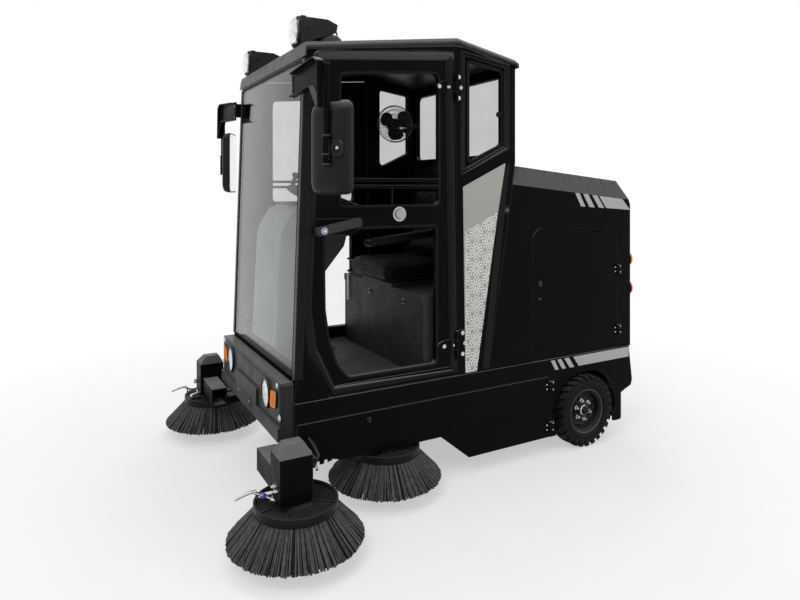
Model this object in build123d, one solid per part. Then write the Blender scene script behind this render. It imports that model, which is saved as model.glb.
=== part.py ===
# Compact ride-on road sweeper with an enclosed cab.
# Millimetres. +X forward, +Y to the machine's left, +Z up, floor at Z = 0,
# origin on the floor under the middle of the outline.
from build123d import *
import math
import os

os.makedirs("parts", exist_ok=True)

# ---------------------------------------------------------------- main sizes
BODY_HALF = 500.0            # lower side skins, outer face
SKIN = 15.0                  # lower skins, hood and access doors
WALL = 37.0                  # cab side walls
CAB_HALF = BODY_HALF - 6     # cab walls, doors and hood sides, outer face
INNER_HALF = CAB_HALF - WALL
FRAME_HALF = BODY_HALF - SKIN
SCREEN_HALF = CAB_HALF - 8
ROOF_HALF = CAB_HALF + 21
NOSE_HALF = BODY_HALF - 10
DOOR_THICK = 33.0
ROOF_THICK = 26.0
SILL_Z = 490.0               # top of the lower body, cab floor
SKIRT_TOP_Z = 404.0
SKIRT_LOW_Z = 89.0
SKIRT_HIGH_Z = 218.0         # over the middle brushes
FLOOR_THICK = 20.0
GAP = 6.0                    # round every door and lid
SEAM = 4.0                   # between fixed panels

FRONT_X = 908.0              # face of the front panel
REAR_X = -1150.0             # rear face of the hood
NOSE_BACK_X = FRONT_X - 58
SKIN_FRONT_X = NOSE_BACK_X - 1

# windscreen line, outer face: (x, z)
GLASS_THICK = 6.0
SCREEN_LOW = (850.0, 576.0)
SCREEN_HIGH = (804.0, 1930.0)

# roof, side view, outer face: (x, z)
ROOF_FRONT = (804.0, 1991.0)
ROOF_BREAK = (43.0, 2096.0)
ROOF_REAR = (-305.0, 2027.0)
ROOF_TAIL = (-322.0, 2003.0)

# back of the cab, side view
BACK_TOP_X = -314.0
BACK_KNEE_Z = 1510.0
BACK_LOW_X = -143.0
BACK_THICK = 30.0

# wheels
TYRE_R = 190.0
TYRE_W = 100.0
RIM_R = 112.0
WHEEL_CLEAR = 0.05           # bores over their shafts
REAR_AXLE_X = -775.0
REAR_TYRE_OUT = BODY_HALF + 35
FRONT_WHEEL_X = 550.0
STUB_R = 15.0

# brushes
BRUSH_R = 262.0
BRUSH_TIP_Z = 60.0
DISC_R = 160.0
DISC_LOW_Z = 181.0
DISC_TOP_Z = 209.0
SHAFT_R = 12.0
FRONT_BRUSH = (913.0, BODY_HALF + 196)
MID_BRUSH = (384.0, BODY_HALF - 89)
ROLLER_X = -220.0
ROLLER_R = 150.0
ROLLER_Z = 215.0
ROLLER_HALF = BODY_HALF - 80
ROLLER_SHAFT_R = 20.0
BEARER_OUT = BODY_HALF - 46

# pin hinges: barrel radius, and where each pin stands (x, y)
BARREL_R = 9.0
BARREL_OUT = BARREL_R + 0.6
DOOR_AXIS = (48.0, CAB_HALF + BARREL_OUT)
SKIRT_AXIS = (-537.0, BODY_HALF + BARREL_OUT)
LID_AXIS = (-1044.0, CAB_HALF + BARREL_OUT)


# ------------------------------------------------------------------- helpers
def box(x0, x1, y0, y1, z0, z1):
    return Pos((x0 + x1) / 2, (y0 + y1) / 2, (z0 + z1) / 2) * Box(
        abs(x1 - x0), abs(y1 - y0), abs(z1 - z0))


def flat(points, radii=None):
    """Closed outline in a plane, corners rounded by the given radii."""
    face = make_face(Polyline(*[(p[0], p[1]) for p in points], close=True))
    if radii:
        for p, r in zip(points, radii):
            if r:
                v = min(face.vertices(), key=lambda q: (q.X - p[0]) ** 2 + (q.Y - p[1]) ** 2)
                face = fillet(v, r)
    return face


def along_y(points, y0, y1, radii=None):
    """Outline given as (x, z), carried from y0 to y1."""
    face = flat(points, radii)
    plane = Plane(origin=(0, y1, 0), x_dir=(1, 0, 0), z_dir=(0, -1, 0))
    return extrude(plane * face, amount=y1 - y0)


def along_x(points, x0, x1, radii=None):
    """Outline given as (y, z), carried from x0 to x1."""
    face = flat(points, radii)
    plane = Plane(origin=(x0, 0, 0), x_dir=(0, 1, 0), z_dir=(1, 0, 0))
    return extrude(plane * face, amount=x1 - x0)


def along_z(points, z0, z1, radii=None):
    return extrude(Pos(0, 0, z0) * flat(points, radii), amount=z1 - z0)


def rod_y(x, z, r, y0, y1):
    return Pos(x, (y0 + y1) / 2, z) * Rot(90, 0, 0) * Cylinder(r, abs(y1 - y0))


def rod_x(y, z, r, x0, x1):
    return Pos((x0 + x1) / 2, y, z) * Rot(0, 90, 0) * Cylinder(r, abs(x1 - x0))


def rod_z(x, y, r, z0, z1):
    return Pos(x, y, (z0 + z1) / 2) * Cylinder(r, abs(z1 - z0))


def bar(p, q, w, h):
    """Rectangular bar from p to q, w across and h tall."""
    d = Vector(*q) - Vector(*p)
    side = Vector(0, 0, 1).cross(d)
    if side.length < 1e-6:
        side = Vector(0, 1, 0)
    plane = Plane(origin=p, x_dir=side, z_dir=d)
    return extrude(plane * Rectangle(w, h), amount=d.length)


def turned_z(points, x, y):
    """Outline (radius, z) turned about the upright line through x, y."""
    face = make_face(Polyline(*points, close=True))
    return Pos(x, y, 0) * revolve(Plane.XZ * face, axis=Axis.Z)


def turned_y(points, x, z):
    """Outline (radius, y) turned about the cross line through x, z."""
    face = make_face(Polyline(*points, close=True))
    solid = revolve(Plane.XY * face, axis=Axis.Y)
    return Pos(x, 0, z) * solid


def other_side(shape):
    return mirror(shape, about=Plane.XZ)


def both(shape):
    return [shape, other_side(shape)]


def join(parts):
    out = parts[0]
    for p in parts[1:]:
        out = out + p
    return out


def save(name, parts):
    shapes = parts if isinstance(parts, list) else [parts]
    solids = []
    for s in shapes:
        solids += list(s.solids())
    whole = solids[0] if len(solids) == 1 else Compound(children=solids)
    export_step(whole, "parts/" + name + ".step")


def screen_x(z):
    (x0, z0), (x1, z1) = SCREEN_LOW, SCREEN_HIGH
    return x0 + (z - z0) * (x1 - x0) / (z1 - z0)


def roof_z(x):
    (a, b), (c, d), (e, f) = ROOF_FRONT, ROOF_BREAK, ROOF_REAR
    if x >= c:
        return d + (x - c) * (b - d) / (a - c)
    return d + (x - c) * (f - d) / (e - c)


def back_x(z):
    """Outer face of the cab's back."""
    if z >= BACK_KNEE_Z:
        return BACK_TOP_X
    return BACK_TOP_X + (BACK_KNEE_Z - z) * (BACK_LOW_X - BACK_TOP_X) / (BACK_KNEE_Z - SILL_Z)


# ---------------------------------------------------------------- pin hinges
PIN_R = 5.0
PIN_CLEAR = 0.05
LEAF = 4.0
SLACK = 0.5                  # between knuckles


def hinge(axis, z, plate, leaf, tall, skin_y):
    """Left-hand upright hinge: fixed plate `plate` long to the rear, moving leaf
    with outline `leaf` (x ahead of the pin, z from the middle). Returns both."""
    x, y = axis
    low, high = z - tall / 2, z + tall / 2
    part_low, part_high = z - tall / 6, z + tall / 6
    bore = rod_z(x, y, PIN_R + PIN_CLEAR, low, high)
    moving = rod_z(x, y, BARREL_R, part_low + SLACK, part_high - SLACK)
    moving += along_y([(x + dx, z + dz) for dx, dz in leaf], skin_y, skin_y + LEAF)
    moving -= bore
    fixed = rod_z(x, y, PIN_R, low, high)
    for z0, z1 in ((low, part_low - SLACK), (part_high + SLACK, high)):
        fixed += rod_z(x, y, BARREL_R, z0, z1)
        fixed += box(x - plate, x, skin_y, skin_y + LEAF, z0, z1)
    fixed += box(x - plate, x - BARREL_R - 4, skin_y, skin_y + LEAF, low, high)
    return fixed, moving


# ------------------------------------------------------------------ cab doors
DOOR_LINE = [(61, 2030), (652, 1974), (768, 1962), (777, 1800), (796, 1333), (816, 869),
             (788, 690), (689, 496), (35, 496)]
DOOR_ROUND = [0, 0, 62, 0, 0, 60, 60, 0, 0]
BAND = 42.0
BAND_STEP = 5.0
UPPER_WINDOW = [(139, 1922), (640, 1876), (640, 1306), (139, 1306)]
UPPER_ROUND = [34, 34, 24, 24]
LOWER_WINDOW = [(153, 1205), (715, 1205), (713, 1016), (711, 868), (693, 739), (656, 628),
                (603, 563), (153, 563)]
LOWER_ROUND = [24, 24, 0, 0, 60, 60, 40, 20]

door_line = flat(DOOR_LINE, DOOR_ROUND)
door_out = CAB_HALF
door_in = CAB_HALF - DOOR_THICK


def lift(face, y0, y1):
    plane = Plane(origin=(0, y1, 0), x_dir=(1, 0, 0), z_dir=(0, -1, 0))
    return extrude(plane * face, amount=y1 - y0)


door = lift(door_line, door_in, door_out)
inner = offset(door_line, amount=-BAND, kind=Kind.INTERSECTION)
door -= lift(inner, door_out - BAND_STEP, door_out + 1)
door -= along_y(UPPER_WINDOW, door_in - 1, door_out + 1, UPPER_ROUND)
door -= along_y(LOWER_WINDOW, door_in - 1, door_out + 1, LOWER_ROUND)
pane_y = door_in + 12
pane = [along_y(UPPER_WINDOW, pane_y, pane_y + 5, UPPER_ROUND),
        along_y(LOWER_WINDOW, pane_y, pane_y + 5, LOWER_ROUND)]

# two slide rails of the upper window
RAIL_HALF_Z = 7.0
for z in (1390, 1420):
    door += box(UPPER_WINDOW[0][0] - 2, UPPER_WINDOW[1][0] + 2, pane_y + 5, door_out - BAND_STEP,
                z - RAIL_HALF_Z, z + RAIL_HALF_Z)

# grip on its two feet, in front of a lock plate
GRIP = ((766, 1198), (560, 1238))
GRIP_FEET = ((742, 1203), (584, 1233))
GRIP_OUT = 34.0
GRIP_DEPTH = 22.0
GRIP_TALL = 34.0
LOCK_PLATE = (562, 757, 1184, 1252)
door += box(LOCK_PLATE[0], LOCK_PLATE[1], door_out - BAND_STEP - 1, door_out, LOCK_PLATE[2], LOCK_PLATE[3])
grip_y = door_out + GRIP_OUT
grip = bar((GRIP[0][0], grip_y, GRIP[0][1]), (GRIP[1][0], grip_y, GRIP[1][1]), GRIP_DEPTH, GRIP_TALL)
for x, z in GRIP_FEET:
    grip += rod_y(x, z, 9, door_out, grip_y)

HINGE_ZS = (1862, 640)
DOOR_PLATE = 48.0
DOOR_TALL = 132.0
DOOR_LEAF = [(0, -20), (30, -30), (72, -26), (98, -12), (104, 0), (98, 12), (72, 26), (30, 30), (0, 20)]
DOOR_FOOT = [(x, z) for x, z in DOOR_LEAF if x > 50]
door_fixed = []
for z in HINGE_ZS:
    x, y = DOOR_AXIS
    fixed, moving = hinge(DOOR_AXIS, z, DOOR_PLATE, DOOR_LEAF, DOOR_TALL, CAB_HALF)
    door_fixed.append(fixed)
    door += moving
    # the leaf's front half is packed out onto the recessed panel
    door += along_y([(x + dx, z + dz) for dx, dz in DOOR_FOOT], CAB_HALF - BAND_STEP - 1, CAB_HALF + LEAF)
    # the edge of the door is let in round the fixed knuckles
    for z0, z1 in ((z - DOOR_TALL / 2 - 3, z - DOOR_TALL / 6 + SLACK), (z + DOOR_TALL / 6 - SLACK, z + DOOR_TALL / 2 + 3)):
        door -= box(x - 12, x + 12, CAB_HALF - 3.5, CAB_HALF + 1, z0, z1)
save("door_grip_left", grip)
save("door_grip_right", other_side(grip))
save("door_left", door)
save("door_right", other_side(door))
save("door_glass_left", pane)
save("door_glass_right", [other_side(p) for p in pane])

# ------------------------------------------------------------------ cab walls
front_low = (screen_x(SILL_Z) - GLASS_THICK, SILL_Z)
WALL_TOP_X = ROOF_FRONT[0] - 7
wall_top_z = roof_z(WALL_TOP_X) - ROOF_THICK
front_high = (screen_x(wall_top_z) - GLASS_THICK, wall_top_z)
WALL_LINE = [front_low, front_high,
             (ROOF_BREAK[0], ROOF_BREAK[1] - ROOF_THICK),
             (BACK_TOP_X, roof_z(BACK_TOP_X) - ROOF_THICK),
             (BACK_TOP_X, BACK_KNEE_Z), (BACK_LOW_X, SILL_Z)]
wall = along_y(WALL_LINE, CAB_HALF - WALL, CAB_HALF)
door_hole = offset(door_line, amount=GAP, kind=Kind.INTERSECTION)
wall -= lift(door_hole, CAB_HALF - WALL - 1, CAB_HALF + 1)
wall -= box(40, 660, CAB_HALF - WALL - 1, CAB_HALF + 1, SILL_Z - 1, 500)
QUARTER = [(4, 2026), (-257, 1988), (-257, 1585), (4, 1462)]
QUARTER_IN = [(-36, 1996), (-236, 1966), (-236, 1602), (-36, 1510)]
QUARTER_PANE = [(-10, 2012), (-248, 1977), (-248, 1592), (-10, 1484)]
QUARTER_DEPTH = 20.0
wall -= along_y(QUARTER, CAB_HALF - QUARTER_DEPTH, CAB_HALF + 1, [8, 8, 8, 8])
wall -= along_y(QUARTER_IN, CAB_HALF - WALL - 1, CAB_HALF, [26, 26, 26, 26])
quarter = along_y(QUARTER_PANE,
                  CAB_HALF - QUARTER_DEPTH, CAB_HALF - QUARTER_DEPTH + 5, [26, 26, 26, 26])
save("cab_walls", both(join([wall] + door_fixed)))

SILVER = [(6, 1389), (-251, 1509), (-201, 1250), (-73, 496), (-8, 496)]
save("trim_panels", both(along_y(SILVER, CAB_HALF, CAB_HALF + 3, [4, 4, 0, 4, 4])))

# ----------------------------------------------------------------- cab back
BACK_LINE = [(BACK_TOP_X, roof_z(BACK_TOP_X) - ROOF_THICK), (BACK_TOP_X, BACK_KNEE_Z),
             (BACK_LOW_X, SILL_Z), (BACK_LOW_X + BACK_THICK, SILL_Z),
             (BACK_TOP_X + BACK_THICK, BACK_KNEE_Z + 5),
             (BACK_TOP_X + BACK_THICK, roof_z(BACK_TOP_X + BACK_THICK) - ROOF_THICK)]
back = along_y(BACK_LINE, -INNER_HALF, INNER_HALF)
REAR_WINDOW_HALF = INNER_HALF - 21
REAR_WINDOW = [(-REAR_WINDOW_HALF, 1560), (REAR_WINDOW_HALF, 1560), (REAR_WINDOW_HALF, 1950),
               (-REAR_WINDOW_HALF, 1950)]
back -= along_x(REAR_WINDOW, BACK_TOP_X - 5, BACK_TOP_X + BACK_THICK + 5, [30] * 4)
save("cab_back", back)
rear_pane = along_x(REAR_WINDOW, BACK_TOP_X + 10, BACK_TOP_X + 15, [30] * 4)

# -------------------------------------------------------------------- roof
HEADER_LOW = 1930.0
ROOF_LINE = [ROOF_FRONT, ROOF_BREAK, ROOF_REAR, ROOF_TAIL,
             (ROOF_TAIL[0], ROOF_TAIL[1] - 18),
             (BACK_TOP_X, ROOF_TAIL[1] - 18),
             (BACK_TOP_X, roof_z(BACK_TOP_X) - ROOF_THICK),
             (ROOF_BREAK[0], ROOF_BREAK[1] - ROOF_THICK),
             (WALL_TOP_X, wall_top_z),
             (screen_x(wall_top_z) + 0.5, wall_top_z),
             (screen_x(HEADER_LOW) + 0.5, HEADER_LOW),
             (screen_x(HEADER_LOW) + 8, HEADER_LOW)]
roof = along_y(ROOF_LINE, -ROOF_HALF, ROOF_HALF)
CHAMFER = 16.0
slope_front = math.degrees(math.atan2(ROOF_BREAK[1] - ROOF_FRONT[1], ROOF_FRONT[0] - ROOF_BREAK[0]))
slope_rear = math.degrees(math.atan2(ROOF_BREAK[1] - ROOF_REAR[1], ROOF_BREAK[0] - ROOF_REAR[0]))
at_break = Pos(ROOF_BREAK[0], 0, ROOF_BREAK[1])
for s in (1, -1):
    edge = [(s * (ROOF_HALF - CHAMFER), 0), (s * (ROOF_HALF + 1), -CHAMFER - 1),
            (s * (ROOF_HALF + 1), 60), (s * (ROOF_HALF - CHAMFER), 60)]
    roof -= at_break * Rot(0, -slope_rear, 0) * along_x(edge, -400, 0)
    roof -= at_break * Rot(0, slope_front, 0) * along_x(edge, 0, 860)
save("cab_roof", roof)

# -------------------------------------------------------------- windscreen
SCREEN_FOOT_Z = SILL_Z + 60
screen_foot = (screen_x(SCREEN_FOOT_Z), SCREEN_FOOT_Z)
screen_head = (screen_x(wall_top_z - 1), wall_top_z - 1)
screen = along_y([screen_foot, screen_head, (screen_head[0] - GLASS_THICK, screen_head[1]),
                  (screen_foot[0] - GLASS_THICK, screen_foot[1])], -SCREEN_HALF, SCREEN_HALF)
save("cab_glass", [screen] + both(quarter) + [rear_pane])

# -------------------------------------------------------------- front panel
NOSE_TOP = 576.0
NOSE_LOW = 343.0
NOSE_SHEET = 12.0
nose = box(NOSE_BACK_X + 1, FRONT_X, -NOSE_HALF, NOSE_HALF, NOSE_LOW, NOSE_TOP)
nose = fillet(nose.edges().filter_by(Axis.Z).group_by(Axis.X)[-1], 14)
nose = fillet(nose.edges().filter_by(Axis.Y).group_by(Axis.X)[-1].sort_by(Axis.Z)[-1], 8)
nose -= box(NOSE_BACK_X - 1, FRONT_X - NOSE_SHEET, -NOSE_HALF + NOSE_SHEET, NOSE_HALF - NOSE_SHEET,
            NOSE_LOW - 1, NOSE_TOP - NOSE_SHEET)
RAISED_HALF = NOSE_HALF - 2
RAISED = [(-RAISED_HALF, NOSE_LOW), (RAISED_HALF, NOSE_LOW), (RAISED_HALF, NOSE_LOW + 61), (176, 398),
          (176, 476), (-184, 476), (-184, 392), (-RAISED_HALF, NOSE_LOW + 55)]
nose += along_x(RAISED, FRONT_X - 2, FRONT_X + 11, [0, 0, 6, 0, 6, 6, 0, 6])
HEAD = (NOSE_HALF - 185, 494, 52, 61)        # y, z, half across, half tall
INDI = [(NOSE_HALF - dy, z) for dy, z in ((118, 458), (44, 470), (38, 540), (106, 528))]
lamp_hole = Plane(origin=(FRONT_X - 4, 0, 0), x_dir=(0, 1, 0), z_dir=(1, 0, 0))
heads = []
for s in (1, -1):
    e = extrude(lamp_hole * Pos(s * HEAD[0], HEAD[1]) * Ellipse(HEAD[2], HEAD[3]), amount=12)
    heads.append(e)
    nose -= e
indis = []
for s in (1, -1):
    e = along_x([(s * y, z) for y, z in INDI], FRONT_X - 4, FRONT_X + 8, [12] * 4)
    indis.append(e)
    nose -= e
save("front_panel", nose)

# ------------------------------------------------------------- lower sides
ARCH_R = TYRE_R + 15
ARCH_BACK_X = -818.0
TAIL_X = -1069.0
SIDE_LINE = [(SKIN_FRONT_X, SILL_Z), (REAR_X + 15, SILL_Z), (REAR_X + 15, 465), (-1158, 300),
             (-1150, 268), (-1109, 253), (TAIL_X, 236), (TAIL_X, 87),
             (SKIRT_AXIS[0] - GAP / 2, 87), (SKIRT_AXIS[0] - GAP / 2, SKIRT_TOP_Z + GAP / 2),
             (838 + GAP / 2, SKIRT_TOP_Z + GAP / 2), (838 + GAP / 2, NOSE_LOW),
             (SKIN_FRONT_X, NOSE_LOW)]
side = along_y(SIDE_LINE, BODY_HALF - SKIN, BODY_HALF,
               [0, 0, 0, 12, 12, 0, 0, 14, 0, 0, 0, 0, 0])
side -= rod_y(REAR_AXLE_X, TYRE_R, ARCH_R, BODY_HALF - SKIN - 1, BODY_HALF + 1)
side -= rod_y(ARCH_BACK_X, TYRE_R, ARCH_R, BODY_HALF - SKIN - 1, BODY_HALF + 1)
side -= box(ARCH_BACK_X, REAR_AXLE_X, BODY_HALF - SKIN - 1, BODY_HALF + 1, 80, TYRE_R + ARCH_R)
side -= box(ARCH_BACK_X - ARCH_R + 12, REAR_AXLE_X + ARCH_R - 12, BODY_HALF - SKIN - 1, BODY_HALF + 1,
            80, 150)

# ------------------------------------------------------------ skirt doors
SKIRT_LINE = [(SKIRT_AXIS[0] + GAP / 2, SKIRT_TOP_Z - GAP / 2), (838, SKIRT_TOP_Z - GAP / 2),
              (838, 356), (818, 327), (765, 272), (721, 242), (629, SKIRT_HIGH_Z),
              (134, SKIRT_HIGH_Z), (-26, SKIRT_LOW_Z), (SKIRT_AXIS[0] + GAP / 2, SKIRT_LOW_Z)]
skirt = along_y(SKIRT_LINE, BODY_HALF - SKIN, BODY_HALF, [0, 6, 0, 0, 0, 0, 0, 6, 6, 0])
SMALL_PLATE = 30.0
SMALL_TALL = 54.0
SMALL_HALF = SMALL_TALL / 6 - SLACK
SMALL_LEAF = [(0, -SMALL_HALF), (SMALL_PLATE, -SMALL_HALF), (SMALL_PLATE, SMALL_HALF), (0, SMALL_HALF)]
skirt_fixed = []
for z in (352, 142):
    fixed, moving = hinge(SKIRT_AXIS, z, SMALL_PLATE, SMALL_LEAF, SMALL_TALL, BODY_HALF)
    skirt_fixed.append(fixed)
    skirt += moving
save("skirt_left", skirt)
save("skirt_right", other_side(skirt))
save("lower_sides", both(join([side] + skirt_fixed)))

# ------------------------------------------------------------- rear panel
REAR_LINE = [(REAR_X + 15, SILL_Z), (REAR_X + 15, 465), (-1158, 300), (-1150, 268),
             (-1109, 253), (TAIL_X, 236), (TAIL_X, 87), (TAIL_X + 12, 87), (TAIL_X + 12, 246),
             (-1104, 265), (-1136, 280), (-1143, 300), (REAR_X + 28, 465), (REAR_X + 28, SILL_Z)]
tail = along_y(REAR_LINE, -BODY_HALF + SKIN, BODY_HALF - SKIN)
save("rear_panel", tail)

# -------------------------------------------------------------------- hood
HOOD_SLOPE = 0.098
HOOD_EDGE_Z = 1402.0         # top of the side, at HOOD_FRONT_X
HOOD_TOP_Z = 1503.0
HOOD_FRONT_X = -298.0
HOOD_TOP_HALF = CAB_HALF - 54


def hood_body(grow, front_x, rear_x):
    """Sloping five-sided tunnel, grown inward by `grow`."""
    h = CAB_HALF - grow
    t = HOOD_TOP_HALF - grow * 0.55
    pts = [(-h, -600), (h, -600), (h, HOOD_EDGE_Z - grow * 0.3), (t, HOOD_TOP_Z - grow),
           (-t, HOOD_TOP_Z - grow), (-h, HOOD_EDGE_Z - grow * 0.3)]
    face = flat(pts)
    rise = (front_x - HOOD_FRONT_X) * HOOD_SLOPE
    plane = Plane(origin=(front_x, 0, rise), x_dir=(0, 1, 0), z_dir=(1, 0, 0))
    run = (front_x - rear_x) * math.hypot(1, HOOD_SLOPE)
    return extrude(plane * face, amount=run, dir=(-1, 0, -HOOD_SLOPE))


hood = hood_body(0, 0, REAR_X)
hood_in = hood_body(SKIN, 10, REAR_X + SKIN)
front_cut = [(back_x(1600) - SEAM, 1700), (back_x(BACK_KNEE_Z) - SEAM, BACK_KNEE_Z),
             (back_x(SILL_Z) - SEAM, SILL_Z), (back_x(300), 300), (200, 300), (200, 1700)]
bevel = [(-1095, 1500), (-1095, 1425), (REAR_X, 1290), (REAR_X - 50, 1290), (REAR_X - 50, 1500)]
bevel_in = [(-1087, 1500), (-1087, 1408), (REAR_X + SKIN, 1286), (REAR_X - 50, 1286), (REAR_X - 50, 1500)]
hood -= along_y(bevel, -600, 600)
hood_in -= along_y(bevel_in, -600, 600)
hood -= hood_in
hood -= along_y(front_cut, -600, 600)
hood -= box(-1500, 300, -600, 600, -700, SILL_Z)
LID_LINE = [(-432, SILL_Z + GAP), (-432, 1180), (-966, 1136), (-1041, 1128), (-1041, SILL_Z + GAP)]
LID_ROUND = [0, 60, 0, 44, 0]
lid_face = flat(LID_LINE, LID_ROUND)
lid_hole = offset(lid_face, amount=GAP, kind=Kind.INTERSECTION)
for s in (1, -1):
    y0, y1 = (CAB_HALF - SKIN - 1, CAB_HALF + 1) if s > 0 else (-CAB_HALF - 1, -CAB_HALF + SKIN + 1)
    hood -= lift(lid_hole, y0, y1)
lid = lift(lid_face, CAB_HALF - SKIN, CAB_HALF)
lid_fixed = []
for z in (930, 592):
    fixed, moving = hinge(LID_AXIS, z, SMALL_PLATE, SMALL_LEAF, SMALL_TALL, CAB_HALF)
    lid_fixed.append(fixed)
    lid += moving
for f in lid_fixed:
    hood += f
    hood += other_side(f)
save("hood", hood)
save("hood_door_left", lid)
save("hood_door_right", other_side(lid))

# ------------------------------------------------------------------- lamps
LAMP_OUT = 25.0
LAMP_R = 42.0
LAMP_Y = CAB_HALF - 44
AMBER_Z = 978.0
RED_Z = 813.0
LOW_LAMP_Y, LOW_LAMP_Z, LOW_LAMP_R = BODY_HALF - 60, 160.0, 26.0


def rear_lamp(z):
    """Round lens with an eased face."""
    lens = rod_x(LAMP_Y, z, LAMP_R, REAR_X - LAMP_OUT, REAR_X)
    return fillet(lens.edges().group_by(Axis.X)[0], 6)


rear_amber = rear_lamp(AMBER_Z)
rear_red = rear_lamp(RED_Z)
low_red = rod_x(LOW_LAMP_Y, LOW_LAMP_Z, LOW_LAMP_R, TAIL_X - 10, TAIL_X)
save("amber_lamps", indis + both(rear_amber))
save("red_lamps", both(rear_red) + both(low_red))

ROOF_LAMP = (824.0, ROOF_HALF - 132, 2058.0)   # lens face x, y, z
LENS_HALF = (56.0, 60.0)                       # across, tall
LAMP_LONG = 190.0
LENS_DEEP = 26.0
LAMP_FOOT_BACK = 168.0
HOUSING_TALL = 56.0


def roof_lamp():
    x, y, z = ROOF_LAMP
    w, h = LENS_HALF
    across = Plane(origin=(x - LAMP_LONG, y, z + h - HOUSING_TALL / 2), x_dir=(0, 1, 0), z_dir=(1, 0, 0))
    rear = across * RectangleRounded(w, HOUSING_TALL - 8, 14)
    front = Plane(origin=(x - LENS_DEEP - 20, y, z + h - HOUSING_TALL / 2), x_dir=(0, 1, 0), z_dir=(1, 0, 0)) * (
        RectangleRounded(2 * w, HOUSING_TALL, 14))
    shell = loft([rear, front])
    shell += box(x - LENS_DEEP - 20.5, x - LENS_DEEP, y - w, y + w, z - h, z + h)
    foot_x = x - LAMP_FOOT_BACK
    foot_z = roof_z(foot_x)
    foot = Pos(foot_x, y, foot_z - 4) * Cone(64, 34, 28, align=(Align.CENTER, Align.CENTER, Align.MIN))
    under = [(foot_x - 100, roof_z(foot_x - 100) - 90), (foot_x + 100, roof_z(foot_x + 100) - 90),
             (foot_x + 100, roof_z(foot_x + 100)), (foot_x - 100, roof_z(foot_x - 100))]
    foot -= along_y(under, y - 100, y + 100)
    neck = rod_z(foot_x, y, 14, foot_z + 10, z + h - HOUSING_TALL + 6)
    lens = box(x - LENS_DEEP + 0.1, x, y - w + 3, y + w - 3, z - h + 3, z + h - 3)
    lens = chamfer(lens.edges().group_by(Axis.X)[-1], 14)
    return shell + neck + foot, lens


lamp_body, lamp_lens = roof_lamp()
save("roof_lamps", both(lamp_body))
save("lamp_lenses", heads + both(lamp_lens))

# ----------------------------------------------------------------- mirrors
ARM_X = 846.0
ARM_SHEET = 8.0
TUBE = (836.0, CAB_HALF + 314)                 # x, y of the upright tube
TUBE_R = 12.0
TUBE_Z = (1470.0, 1842.0)
HEAD_C = (803.0, CAB_HALF + 303, 1533.0)
HEAD_SIZE = (56.0, 206.0, 350.0)
HEAD_TURN = 26.6
PLATE = [  # out from the cab wall, z
    (-32, 1855), (259, 1876), (300, 1857), (312, 1681), (296, 1681), (222, 1768), (-22, 1756)]
CHANNEL_DEEP = 26.0
CHANNEL_SHEET = 5.0
PLATE_SLOT = [(-18, 1846), (-6, 1847), (-6, 1776), (-18, 1775)]
plate = along_x([(CAB_HALF + dy, z) for dy, z in PLATE], ARM_X - ARM_SHEET / 2, ARM_X + ARM_SHEET / 2)
plate -= along_x([(CAB_HALF + dy, z) for dy, z in PLATE_SLOT], ARM_X - ARM_SHEET, ARM_X + ARM_SHEET)
web = box(790, ARM_X, CAB_HALF, CAB_HALF + 6, 1775, 1850)
stem = rod_z(*TUBE, TUBE_R, *TUBE_Z)
sleeve = rod_z(*TUBE, TUBE_R + 4, 1468, 1575)
arm = plate + web + stem + sleeve
# turned edges of the folded channel: each runs between two corners of the plate
for i, j in ((0, 1), (1, 2), (2, 3), (4, 5), (5, 6)):
    (ya, za), (yb, zb) = PLATE[i], PLATE[j]
    shift = CHANNEL_SHEET / 2 if i < 4 else -CHANNEL_SHEET / 2
    arm += bar((ARM_X + CHANNEL_DEEP / 2, CAB_HALF + max(ya, 0), za - shift),
               (ARM_X + CHANNEL_DEEP / 2, CAB_HALF + yb if yb > 0 else CAB_HALF, zb - shift), CHANNEL_DEEP,
               CHANNEL_SHEET)
place = Pos(*HEAD_C) * Rot(0, 0, HEAD_TURN)
HEAD_CORNER = 38.0
HEAD_BAND = 18.0                               # rim band, then the bulged back
head = Box(*HEAD_SIZE)
head = fillet(head.edges().filter_by(Axis.X), HEAD_CORNER)
head = fillet(head.edges().group_by(Axis.X)[-1], 18)
groove = Box(HEAD_SIZE[0], HEAD_SIZE[1] + 2, HEAD_SIZE[2] + 2) - fillet(
    Box(HEAD_SIZE[0] + 2, HEAD_SIZE[1] - 6, HEAD_SIZE[2] - 6).edges().filter_by(Axis.X), HEAD_CORNER - 3)
head -= Pos(HEAD_BAND, 0, 0) * groove
head = place * head
arm += bar((*TUBE, 1522), (HEAD_C[0] + 10, HEAD_C[1] + 6, 1522), 34, 70)
arm -= head
save("mirror_arms", both(arm))
save("mirror_heads", both(head))

# -------------------------------------------------------- floor and frame
FLOOR_X = (REAR_X + 30, SKIN_FRONT_X - 6)
floor_face = [(FLOOR_X[1], -FRAME_HALF), (FLOOR_X[1], FRAME_HALF), (FLOOR_X[0], FRAME_HALF),
              (FLOOR_X[0], -FRAME_HALF)]
floor = along_z(floor_face, SILL_Z - FLOOR_THICK, SILL_Z)
save("cab_floor", floor)

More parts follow.
